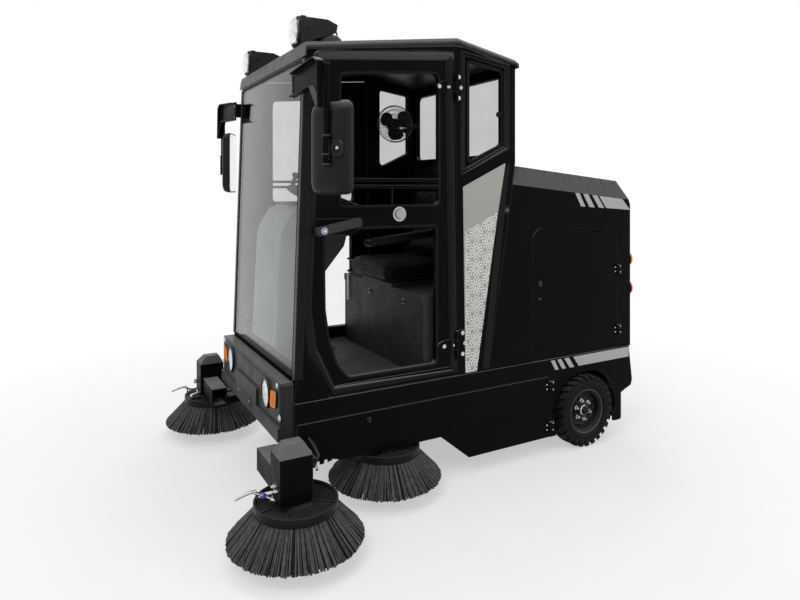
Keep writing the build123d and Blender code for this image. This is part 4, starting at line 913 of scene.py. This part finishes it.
def door_trim():
    bag = Bag()
    face, step = on_side(CAB_Y - 1), on_side(STEP_Y)
    line = inset(rounded(DOOR_LINE, DOOR_ROUND, 6), BAND + 2)
    # rest of the door band in the lighter band paint: painted light on the band
    bead(bag, line[5:] + line[:1], face, BAND + 0.5, 9, 0, closed=False)
    (x0, z0), (x1, z1) = line[:2]
    lead = (x0 - BAND, z0 - (z1 - z0) * BAND / (x1 - x0))
    # top run of the door band in the pale trim paint: painted highlight from the light above
    bead(bag, [lead] + line[1:6], face, BAND + 0.5, 9, 6, closed=False)
    for window, radii in ((UPPER_WINDOW, [34, 34, 24, 24]), (LOWER_WINDOW, LOWER_ROUND)):
        strip(bag, inset(rounded(window, radii), -3), on_side(STEP_Y - 3), 5, 0, 6, 1)
    for z in (1390, 1420):                     # lips of the slide rails in the lighter band paint: painted highlight
        bag.box(141, 638, z + 4, z + 7, 0, 3, 2, step)
    bag.box(380, 386, 1310, 1384, -14, -4, 1, step)
    knob = on_side(STEP_Y, 354, 1266)          # round chromed knob
    bag.turned([(35, 0), (35, 5), (33, 9), (30, 10), (27, 7)], knob, 40, 3)
    bag.turned([(27, 6), (24, 7.2), (23, 9)], knob, 40, 2)
    bag.turned([(22, 7), (22, 12), (20, 17), (6, 18)], knob, 40, 5)
    for i in range(12):
        bag.turned([(3, 8), (3, 11), (2, 12)], shifted(knob, *polar(30, math.radians(30 * i))), 8, 3)
    for z, shift in HINGES:                    # screws of the two hinge leaves
        for x in (88, 141):
            bag.bolt(on_side(CAB_Y + LEAF), x - shift, z - 2, 6.5, 5, 4, washer=4)
    pair(bag, "door_trim", "cab_door", [lit_band_paint, rubber, lit_band_paint, chrome, zinc, decal_grey, lit_trim_paint],
         bevel=0.8)


def door_grip():
    """Ribbed cover of each door's grip, and the push button of the lock."""
    grip = Bag()
    d = Vector((560 - 766, 0, 1238 - 1198)).normalized()
    up = Vector((-d.z, 0, d.x)) * -1
    origin = Vector((766, CAB_Y + 34, 1198))

    def on_grip(u, v, w):
        p = origin + d * u + up * v
        return (p.x, p.y + w, p.z)

    body = oblong(-2, math.hypot(206, 40) + 2, -19, 19, 12)
    grip.prism(body, on_grip, -12, 9)
    grip.prism(inset(body, 3), on_grip, 9, 13, shrink=3)
    for i in range(9):
        grip.box(70 + 11 * i, 75 + 11 * i, -12, 12, 12, 14.5, 0, on_grip)
    button = shifted(on_grip, 32)
    grip.turned([(15, 11), (15, 15), (12, 17), (12, 14)], button, 28, 1)
    grip.turned([(12, 12), (12, 15.5), (9, 17)], button, 28, 2)
    grip.turned([(8, 12), (8, 18.5), (6.5, 19.5)], button, 24, 1)
    pair(grip, "door_grip_cover", "cab_door", [box_paint, chrome, blue_plastic], bevel=0.8)


door_trim()
door_grip()


# ------------------------------------------- hinge leaves, latches and windows
def hinge_bolts(bag, heights, y, x, spread):
    """Two small screws above and below the middle of each hinge."""
    for z in heights:
        for dz in (spread, -spread):
            bag.bolt(on_side(y), x, z + dz, 4.3, 3.2, 1)


def side_details():
    """Screws of the fixed hinge plates, and the rubber, frame and latch of the quarter window."""
    bag = Bag()
    side, sunk, window = on_side(CAB_Y), on_side(CAB_Y - 15, -218, 1749), on_side(CAB_Y - 20)
    for z, shift in HINGES:                    # fixed plates of the door hinges
        for dx, dz in ((17, 50), (30, 0), (17, -50)):
            bag.bolt(on_side(CAB_Y + LEAF), 48 - shift * 0.8 - dx, z + dz, 6.5, 5, 1, washer=1)
    hinge_bolts(bag, LID_HINGES, CAB_Y + LEAF, -1064, 17)
    hinge_bolts(bag, SKIRT_HINGES, LOW_Y + LEAF, -558, 18)
    bag.bolt(side, -257, 1274, 15, 9, 3, washer=2)      # pillar screw
    bag.bolt(side, -257, 1274, 5, 12, 1)
    quarter = rounded([(-28, 2004), (-244, 1973), (-244, 1596), (-28, 1496)], 26)
    strip(bag, inset(quarter, 4), window, 8, 0, 10, 2)
    frame_line = [(4, 2026), (-257, 1988), (-257, 1585), (4, 1462)]
    # frame and bead round the quarter window in the lighter band paint: painted light
    strip(bag, inset(frame_line, 6), window, 6, 0, 21, 4)
    bead(bag, inset(frame_line, -9), side, 11, 6, 4)
    bag.turned([(14, 0), (14, 6), (10, 10)], sunk, 20, 2)
    bag.box(-8, 8, -9, 15, 4, 12, 2, sunk)
    # pressed edge along the cab pillar behind the silver panel, in the lighter band paint as a painted
    # highlight
    bag.prism([(-276, 1506), (-147, 500), (-112, 500), (-236, 1440)], side, 0, 1.4, 4)
    bag.both().make("side_details", "machine", [paint, zinc, rubber, steel, lit_band_paint], bevel=0.6)


def lid_details():
    """Moving hinge leaves of the tall side lids, the latch and the small framed bar below it."""
    bag = Bag()
    for z in LID_HINGES:
        bag.box(-1042, -1016, z - 18, z + 18, 0.2, 3.8, 0, on_side(CAB_Y))
    hinge_bolts(bag, LID_HINGES, CAB_Y + 3.8, -1025, 12)
    latch = on_side(CAB_Y, -476, 890)
    bag.turned([(15, 0), (15, 4), (12, 6), (12, 3), (8, 3)], latch, 28, 2)
    bag.box(-5, 5, -12, 12, 3, 8, 2, latch)
    strip(bag, [(-14, -34), (14, -34), (14, -86), (-14, -86)], latch, 1.6, 0, 1.6)
    bag.box(-9, 9, -82, -74, 0, 4, 2, latch)
    pair(bag, "lid_details", "side_lid", [rubber, zinc, steel], bevel=0.6)


def skirt_details():
    """Moving hinge leaves of the low skirt doors and their latch."""
    bag = Bag()
    for z in SKIRT_HINGES:
        bag.box(-530, -508, z - 18, z + 18, 0.2, 3.8, 0, on_side(LOW_Y))
    hinge_bolts(bag, SKIRT_HINGES, LOW_Y + 3.8, -516, 12)
    latch = on_side(LOW_Y, 509, 366)
    bag.turned([(13, 0), (13, 5), (10, 8), (10, 4), (6, 4)], latch, 28)
    bag.box(-3, 3, -9, 9, 4, 9, 2, latch)
    pair(bag, "skirt_details", "skirt_door", [rubber, zinc, steel], bevel=0.6)


side_details()
lid_details()
skirt_details()

# ------------------------------------------------- stripes and printed lattice
HOOD_BARS = [  # each stripe: four corners (x, z)
    [(-725, 1358), (-757, 1356), (-800, 1283), (-768, 1285)],
    [(-783, 1353), (-822, 1350), (-870, 1278), (-830, 1281)],
    [(-850, 1347), (-889, 1343), (-943, 1274), (-902, 1277)],
    [(-904, 1341), (-1085, 1323), (-1149, 1260), (-958, 1274)]]
LOW_BARS = [
    [(-546, 483), (-572, 483), (-601, 431), (-577, 431)],
    [(-591, 483), (-619, 483), (-652, 430), (-626, 430)],
    [(-640, 483), (-672, 484), (-712, 429), (-680, 429)],
    [(-704, 484), (-1134, 485), (-1128, 430), (-744, 430)]]
PANEL = [(-4, 1174), (-197, 1264), (-200, 1256), (-76, 500), (-9, 500)]
CELL = 87.0                                    # rosette spacing
LINE_HALF = 1.4
PETAL = [(17, 0), (26, 13), (36, 12), (43, 0), (36, -12), (26, -13)]   # radius, degrees from its axis


def stripes():
    bag = Bag()
    for bars, y in ((HOOD_BARS, CAB_Y), (LOW_BARS, LOW_Y)):
        for bar in bars:
            bag.prism(bar, on_side(y), 0, 0.6)
    bag.both().make("stripes", "machine", [decal_grey], smooth=0)


def clip(a, b, polygon):
    """Part of the line a-b inside a convex polygon, or None."""
    s = 1 if area_of(polygon) > 0 else -1
    t0, t1 = 0.0, 1.0
    dx, dy = b[0] - a[0], b[1] - a[1]
    for p, q in zip(polygon, polygon[1:] + polygon[:1]):
        nx, ny = -(q[1] - p[1]) * s, (q[0] - p[0]) * s
        top = nx * (a[0] - p[0]) + ny * (a[1] - p[1])
        slope = nx * dx + ny * dy
        if abs(slope) < 1e-9:
            if top < 0:
                return None
        elif slope > 0:
            t0 = max(t0, -top / slope)
        else:
            t1 = min(t1, -top / slope)
    if t1 - t0 < 1e-3:
        return None
    return [(a[0] + dx * t, a[1] + dy * t) for t in (t0, t1)]


def rosette(cx, cz):
    """Lines of one rosette: a hub ring, twelve petals and the spokes between them."""
    at = lambda r, degrees: polar(r, math.radians(degrees), cx, cz)
    lines = []
    for axis in range(15, 375, 30):
        corners = [at(r, axis + turn) for r, turn in PETAL]
        lines += list(zip(corners, corners[1:] + corners[:1]))
        lines.append((at(9, axis - 15), at(9, axis + 15)))
        lines.append((at(9, axis), at(17, axis)))
    return lines


def lattice():
    """Rosette lattice printed on the lower part of the silver panel."""
    bag = Bag()
    row = CELL * math.sqrt(3) / 2
    for i in range(-2, 3):
        for k in range(-1, 10):
            for a, b in rosette(-72 + row * i, 473 + CELL * (k + (0.5 if i % 2 else 0))):
                inside = clip(a, b, PANEL)
                if inside:
                    strip(bag, inside, on_side(CAB_Y + 3), LINE_HALF, 0, 0.5, closed=False)
    bag.both().make("lattice_print", "machine", [lattice_white], smooth=0)


stripes()
lattice()

# --------------------------------------------------------------------- cabin
FAN_MID, FAN_TURN, FAN_R = (-74.0, -330.0, 1770.0), -12.0, 112.0
CAGE_RINGS = [(FAN_R - 2, 0), (FAN_R - 6, 14), (FAN_R - 6, -14), (86, 24), (58, 28), (34, 29), (86, -24),
              (58, -27)]                       # radius, w
CAGE_WIRE = [(FAN_R - 3, 2, 0.0), (FAN_R - 8, 16, 0.03), (86, 24, 0.10), (56, 27, 0.18), (26, 29, 0.26)]
BLADE_STEPS, BLADE_ACROSS = 8, 6


def blade(bag, hub, a0):
    """Wide twisted fan blade: two skins joined along the edge."""
    m, n = BLADE_ACROSS + 1, BLADE_STEPS + 1
    verts, faces = [], []
    for layer in (0, 1):
        for k in range(n):
            f = k / BLADE_STEPS
            width = 0.62 * math.sin(math.pi * (0.18 + 0.74 * f)) + 0.16
            for j in range(m):
                t = (j / BLADE_ACROSS - 0.5) * 2
                w = 12 * t * (1 - 0.35 * f) + 2.5 * layer
                verts.append(hub(*polar(18 + 78 * f, a0 + t * width + 0.12 * f), w))
    for k in range(BLADE_STEPS):
        for j in range(BLADE_ACROSS):
            q = k * m + j
            faces += [(q, q + 1, q + m + 1, q + m), tuple(m * n + c for c in (q + m, q + m + 1, q + 1, q))]
    edge = list(range(m)) + [k * m + BLADE_ACROSS for k in range(1, n)]
    edge += [BLADE_STEPS * m + j for j in range(BLADE_ACROSS - 1, -1, -1)]
    edge += [k * m for k in range(BLADE_STEPS - 1, 0, -1)]
    faces += [(a, b, m * n + b, m * n + a) for a, b in zip(edge, edge[1:] + edge[:1])]
    bag.add(verts, faces)


def fan():
    """Three-blade cab fan in its wire cage, with motor and bracket."""
    bag = Bag()
    turn = turned_at(FAN_MID, FAN_TURN, "Z")
    hub = lambda u, v, w: tuple(turn @ Vector((-u, w, v)))
    for r, w in CAGE_RINGS:
        points = [hub(*polar(r, TAU * i / 48), w) for i in range(48)]
        bag.tube(points, 2.6 if w == 0 else 1.3, 6, 1, closed=True)
    for i in range(28):
        a = TAU * i / 28
        for s in (1, -1):
            bag.tube([hub(*polar(r, a + t), s * w) for r, w, t in CAGE_WIRE], 1.1, 5, 1)
    bag.turned([(27, 30), (27, 26), (20, 26), (20, 31), (8, 33)], hub, 28)
    bag.turned([(22, -16), (22, 12), (14, 20), (5, 23)], hub, 28)
    for i in range(3):
        blade(bag, hub, TAU * i / 3 + 0.5)
    bag.turned([(34, -22), (38, -30), (38, -70), (30, -84), (12, -88)], hub, 32)
    bag.rod(hub(0, 0, -60), (-240, -405, 1770), 11, 16)
    bag.rod((-240, -405, 1770), (-284, -430, 1770), 16, 16)
    bag.box(-284, -278, -456, -400, 1740, 1800)
    bag.tube([hub(30, -20, -70), (-130, -380, 1742), (-190, -420, 1730), (-262, -440, 1745)], 3.5, 8, 2)
    bag.make("fan", "machine", [plastic, steel, rubber], smooth=40, replaces=("cab_fan",))


def seat_box_details():
    """Lid line, hinges and stay chain of the box under the seat."""
    bag = Bag()
    face = on_front(200)
    bag.box(-448, 448, 838, 840.5, -0.2, 1.4, 2, face)
    bag.box(200, 206, -450, 450, 841, 878, 1)
    for y in (-115, 263):
        for z in (831, 811):
            bag.box(y - 17, y + 17, z - 9, z + 9, 0, 2.4, 1, face)
            for dy in (9, -9):
                bag.bolt(on_front(202.4), y + dy, z, 3.6, 3, 3)
        bag.rod((203, y - 16, 821), (203, y + 16, 821), 4, 12, 1)
    for i in range(11):                        # links of the chain
        link = on_front(213 if i % 2 else 211, -382, 872 - 13 * i)
        points = [polar(1, TAU * k / 10) for k in range(10)]
        bag.tube([link(6 * u, 9 * v, 0) for u, v in points], 2.4, 6, 3, closed=True)
    bag.make("seat_box_details", "machine", [paint, box_paint, rubber, zinc], bevel=0.6)


def console_details():
    """Instrument face, switches and vent of the front console, with the foot pedals."""
    bag = Bag()
    top = lambda u, v, w: (716 - v, u, 1301.5 + w)
    bag.prism(oblong(-92, 92, -22, 22, 8), top, 0, 8, shrink=2)
    bag.prism(oblong(-84, 84, -17, 17, 6), top, 8, 9, 1)
    for i in range(5):
        bag.box(12 * i - 140, 12 * i - 132, -8, 8, 0, 7, 0, top)
    for i in range(3):
        bag.turned([(9, 0), (9, 5), (7, 12), (4, 13)], shifted(top, 112 + 24 * i), 20)
    back = lambda u, v, w: (638 - w + (v - 900) * 0.02, u, v)
    strip(bag, oblong(-170, 170, 930, 1210, 20), back, 2, -6, 3, 2)
    bag.box(-60, 60, 960, 1010, -4, 4, 0, back)
    for i in range(6):
        bag.box(-52, 52, 964 + 8 * i, 967 + 8 * i, 3, 6, 0, back)
    pedal = lambda u, v, w: (585 - 0.5 * v - 0.6 * w, u, 500 + 0.8 * v + w)
    for y in (110, -110):
        bag.prism(oblong(y - 45, y + 45, 0, 120, 10), pedal, 4, 12)
    bag.make("console_details", "machine", [plastic, screen_dark, grey_plastic], bevel=0.8)


def steering_details():
    """Horn cap, finger ridges and spinner knob of the steering wheel."""
    bag = Bag()
    hub = turned_by(turned_at((500, 0, 1320), -20, "Y"))
    bag.turned([(44, -8), (46, 2), (40, 12), (24, 18), (6, 20)], hub, 40)
    bag.turned([(20, 17), (20, 21), (14, 24), (4, 25)], hub, 28, 1)
    for k in range(3):
        for j in range(5):
            a = math.radians(120 * k + 60 + 5 * (j - 2))
            ridge = lambda u, v, w: hub((200 + u) * math.cos(a) - w * math.sin(a),
                                        (200 + u) * math.sin(a) + w * math.cos(a), v)
            bag.turned([(13.2, -2.2), (14.6, 0), (13.2, 2.2)], ridge, 16)
    bag.rod(hub(200, 0, 12), hub(200, 0, 52), 11, 18)
    bag.turned([(11, 50), (19, 56), (20, 66), (14, 74), (5, 76)], shifted(hub, 200), 24)
    bag.make("steering_details", "hand_wheel", [plastic, steel], smooth=40)


def armrest_pads():
    bag = Bag()
    y = 268.0
    a, b = Vector((-170, y, 1178)), Vector((390, y, 1120))
    d = (b - a).normalized()
    up = Vector((-d.z, 0, d.x))

    def place(u, v, w):
        p = a + d * u + up * w
        return (p.x, p.y + v, p.z)

    outline = rounded([(60, -30), (552, -30), (566, 0), (552, 30), (60, 30)], [20, 20, 16, 20, 20])
    bag.prism(outline, place, -16, 18, shrink=3)
    bag.turned([(17, -34), (17, 34)], on_side(y, 390, 1118), 26)
    bag.both().make("armrest_pads", "machine", [leather], bevel=2.5)


CUSHIONS = [  # name, size, middle, lean about y, corner
    ("seat_cushion", (412, 452, 84), (80, 0, 957), 0.0, 30),
    ("seat_back", (66, 424, 372), (-150, 0, 1192), -8.0, 28)]
SWELL = 14.0                                   # how far a point of a cushion may move
CUSHION_VOXEL = 11.0
AIR_FRAMES = 20


def padded_form(name, size, mid, lean, corner):
    """Closed rounded block, the start of a cushion; x, y, z sizes in millimetres."""
    mesh = bpy.data.meshes.new(name)
    work = bmesh.new()
    bmesh.ops.create_cube(work, size=1.0)
    for v in work.verts:
        v.co = [c * s for c, s in zip(v.co, size)]
    bmesh.ops.bevel(work, geom=list(work.edges), offset=corner, segments=5, affect="EDGES", profile=0.5)
    work.to_mesh(mesh)
    work.free()
    mesh.transform(turned_at(mid, lean, "Y"))
    mesh.transform(Matrix.Scale(MM, 4))
    return new_object(name, mesh)


def inflate(obj):
    """Cloth with air pressure, capped, then smoothed and applied."""
    bpy.context.view_layer.objects.active = obj
    for o in bpy.context.selected_objects:
        o.select_set(False)
    obj.select_set(True)
    mod = obj.modifiers.new("even mesh", "REMESH")
    mod.mode = "VOXEL"
    mod.voxel_size = CUSHION_VOXEL * MM
    bpy.ops.object.modifier_apply(modifier=mod.name)
    start = [v.co.copy() for v in obj.data.vertices]
    cloth = obj.modifiers.new("air", "CLOTH")
    cloth.settings.use_pressure = True
    cloth.settings.uniform_pressure_force = 4.0
    cloth.settings.effector_weights.gravity = 0.0
    cloth.settings.quality = 5
    cloth.point_cache.frame_start, cloth.point_cache.frame_end = 1, AIR_FRAMES
    for f in range(1, AIR_FRAMES + 1):
        scene.frame_set(f)
    graph = bpy.context.evaluated_depsgraph_get()
    swollen = [v.co.copy() for v in obj.evaluated_get(graph).data.vertices]
    obj.modifiers.remove(cloth)
    for v, p, q in zip(obj.data.vertices, start, swollen):
        d = q - p
        if d.length > SWELL * MM:
            d = d.normalized() * SWELL * MM
        v.co = p + d
    scene.frame_set(1)
    obj.data.update()
    sub = obj.modifiers.new("smooth", "SUBSURF")
    sub.levels = sub.render_levels = 1
    bpy.ops.object.modifier_apply(modifier=sub.name)


def cushions():
    for name, size, mid, lean, corner in CUSHIONS:
        obj = padded_form(name, size, mid, lean, corner)
        obj.data.materials.append(leather)
        inflate(obj)
        obj.data.shade_smooth()
        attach(obj, "machine")
        if name == "seat_cushion":
            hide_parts("seat")


def seat_piping():
    """Sewn piping of the seat cushion, its channels, and the bracket that carries the back."""
    bag = Bag()
    line = oblong(-134, 294, -234, 234, 40, 6)
    for z in (925, 992):
        bag.tube([(x, y, z) for x, y in line], 4, 8, closed=True)
    for y in (-120, 120):
        bag.tube([(-110, y, 1000), (0, y, 1008), (160, y, 1008), (262, y, 1000)], 2.5, 6)
    bag.box(-120, 220, -170, 170, 903, 912, 1)
    for y in (-150, 150):
        bag.tube([(-60, y, 915), (-140, y, 930), (-168, y, 1010), (-185, y, 1080)], 11, 10, 1)
    bag.make("seat_piping", "machine", [leather, dull_paint], smooth=40)


fan()
seat_box_details()
console_details()
steering_details()
armrest_pads()
cushions()
seat_piping()


# -------------------------------------------------------- running gear details
def under_details():
    """Bolts, brake drums, springs and hoses round the axle and the brush motors."""
    bag = Bag()
    for x in (-805, -745):
        for z in (300, 240):
            bag.bolt(on_side(298), x, z, 9, 7, 1)
    bag.turned([(56, 330), (70, 340), (70, 362), (56, 372)], on_side(0, AXLE_X, WHEEL_Z), 40)
    bag.tube([(-775, 340, 262), (-700, 330, 300), (-640, 300, 360), (-560, 290, 404)], 6, 8, 2)
    for z in (224, 244, 264, 284, 304):
        bag.turned([(55, -1.5), (58, 0), (55, 1.5)], on_top(z, 384, 411), 36, ring=True)
    bag.tube([(340, 380, 322), (320, 340, 350), (300, 310, 388), (220, 306, 404)], 7, 8, 2)
    bag.tube([(356, 380, 322), (352, 340, 344), (380, 306, 380), (460, 304, 404)], 7, 8, 2)
    bag.both().make("under_details", "machine", [dull_paint, zinc, rubber], smooth=40)


under_details()

# ---------------------------------------------------------- stage and camera
CAMERA_AT = (1.710, 2.938, 1.379)
LOOK = (-0.4862, -0.8739, 0.0)
FOCAL_PX, IMAGE_WIDE, IMAGE_MID, HORIZON = 619.0, 800.0, 300.0, 189.0
SENSOR = 36.0
WHITE_FROM, WHITE_TO = 1.2, 3.2                # the floor fades to plain white between these, in metres
FLOOR_HALF, FLOOR_Z = 30.0, -0.002
WORLD_LIGHT = 0.55
LAMPS = [  # name, place, aim, size, watts
    ("key", (3.2, 2.6, 4.2), (0.2, 0.0, 0.9), 2.6, 95),
    ("fill", (-2.6, 4.2, 2.4), (-0.3, 0.0, 0.8), 2.8, 45),
    ("top", (-0.2, -0.4, 4.8), (0.0, 0.0, 1.0), 3.0, 70),
    ("back", (-3.0, -3.4, 3.0), (0.0, 0.0, 1.0), 2.4, 45)]


def eye_rays(tree):
    """1 for what is seen by the camera, straight, in a mirror or through a pane; else 0."""
    rays = new_node(tree, "LightPath", {}).outputs
    seen = maths(tree, "MAXIMUM", rays["Is Camera Ray"], rays["Is Glossy Ray"])
    return maths(tree, "MAXIMUM", seen, rays["Is Transmission Ray"])


def stage_white(name, keep):
    """Matt white that is plain white to the eye; `keep` of the floor's own shade stays near the object."""
    m, tree = new_material(name)
    grain = ranged(tree, noise_at(tree, 3.0), 0.0, 1.0)
    white = mixed(tree, grain, (0.80, 0.80, 0.80), (0.83, 0.83, 0.83))
    matt = feed(tree, tree.nodes["Principled BSDF"], {
        "Base Color": white, "Roughness": 0.9, "Specular IOR Level": 0.1})
    glow = new_node(tree, "Emission", {"Strength": 1.0})
    where = new_node(tree, "TexCoord", {}).outputs["Object"]
    far = new_node(tree, "VectorMath", {0: where}, operation="LENGTH").outputs["Value"]
    fade = ranged(tree, far, 1.0 - keep, 1.0, WHITE_FROM, WHITE_TO)
    blended(tree, maths(tree, "MULTIPLY", eye_rays(tree), fade), matt, glow, "Material Output")
    return m


def floor():
    mesh = bpy.data.meshes.new("floor")
    r = FLOOR_HALF
    mesh.from_pydata([(x, y, FLOOR_Z) for x, y in ((-r, -r), (r, -r), (r, r), (-r, r))], [], [(0, 1, 2, 3)])
    mesh.materials.append(stage_white("white floor", 0.5))
    new_object("floor", mesh)


def world():
    """White to the eye, and softer as a light."""
    w = bpy.data.worlds.new("studio")
    scene.world = w
    w.use_nodes = True
    tree = w.node_tree
    light = feed(tree, tree.nodes["Background"], {"Color": WHITE, "Strength": WORLD_LIGHT})
    white = new_node(tree, "Background", {"Color": WHITE, "Strength": 1.0})
    blended(tree, eye_rays(tree), light, white, "World Output")


def aimed(obj, at, direction):
    obj.location = at
    obj.rotation_mode = "QUATERNION"
    obj.rotation_quaternion = direction.to_track_quat("-Z", "Y")


def lamps():
    for name, at, aim, size, watts in LAMPS:
        light = bpy.data.lights.new(name, "AREA")
        light.shape = "SQUARE"
        light.size = size
        light.energy = watts
        obj = new_object(name, light)
        aimed(obj, at, Vector(aim) - Vector(at))
        obj.visible_glossy = False             # panes mirror the white surround, not the lamps


def camera():
    """Level camera; a downward shift of the picture takes the place of a tilt."""
    cam = bpy.data.cameras.new("camera")
    obj = new_object("camera", cam)
    scene.camera = obj
    cam.sensor_width = SENSOR
    cam.lens = FOCAL_PX / IMAGE_WIDE * SENSOR
    cam.shift_y = -(IMAGE_MID - HORIZON) / IMAGE_WIDE
    aimed(obj, CAMERA_AT, Vector(LOOK))


floor()
world()
lamps()
camera()
scene.view_settings.view_transform = "Standard"
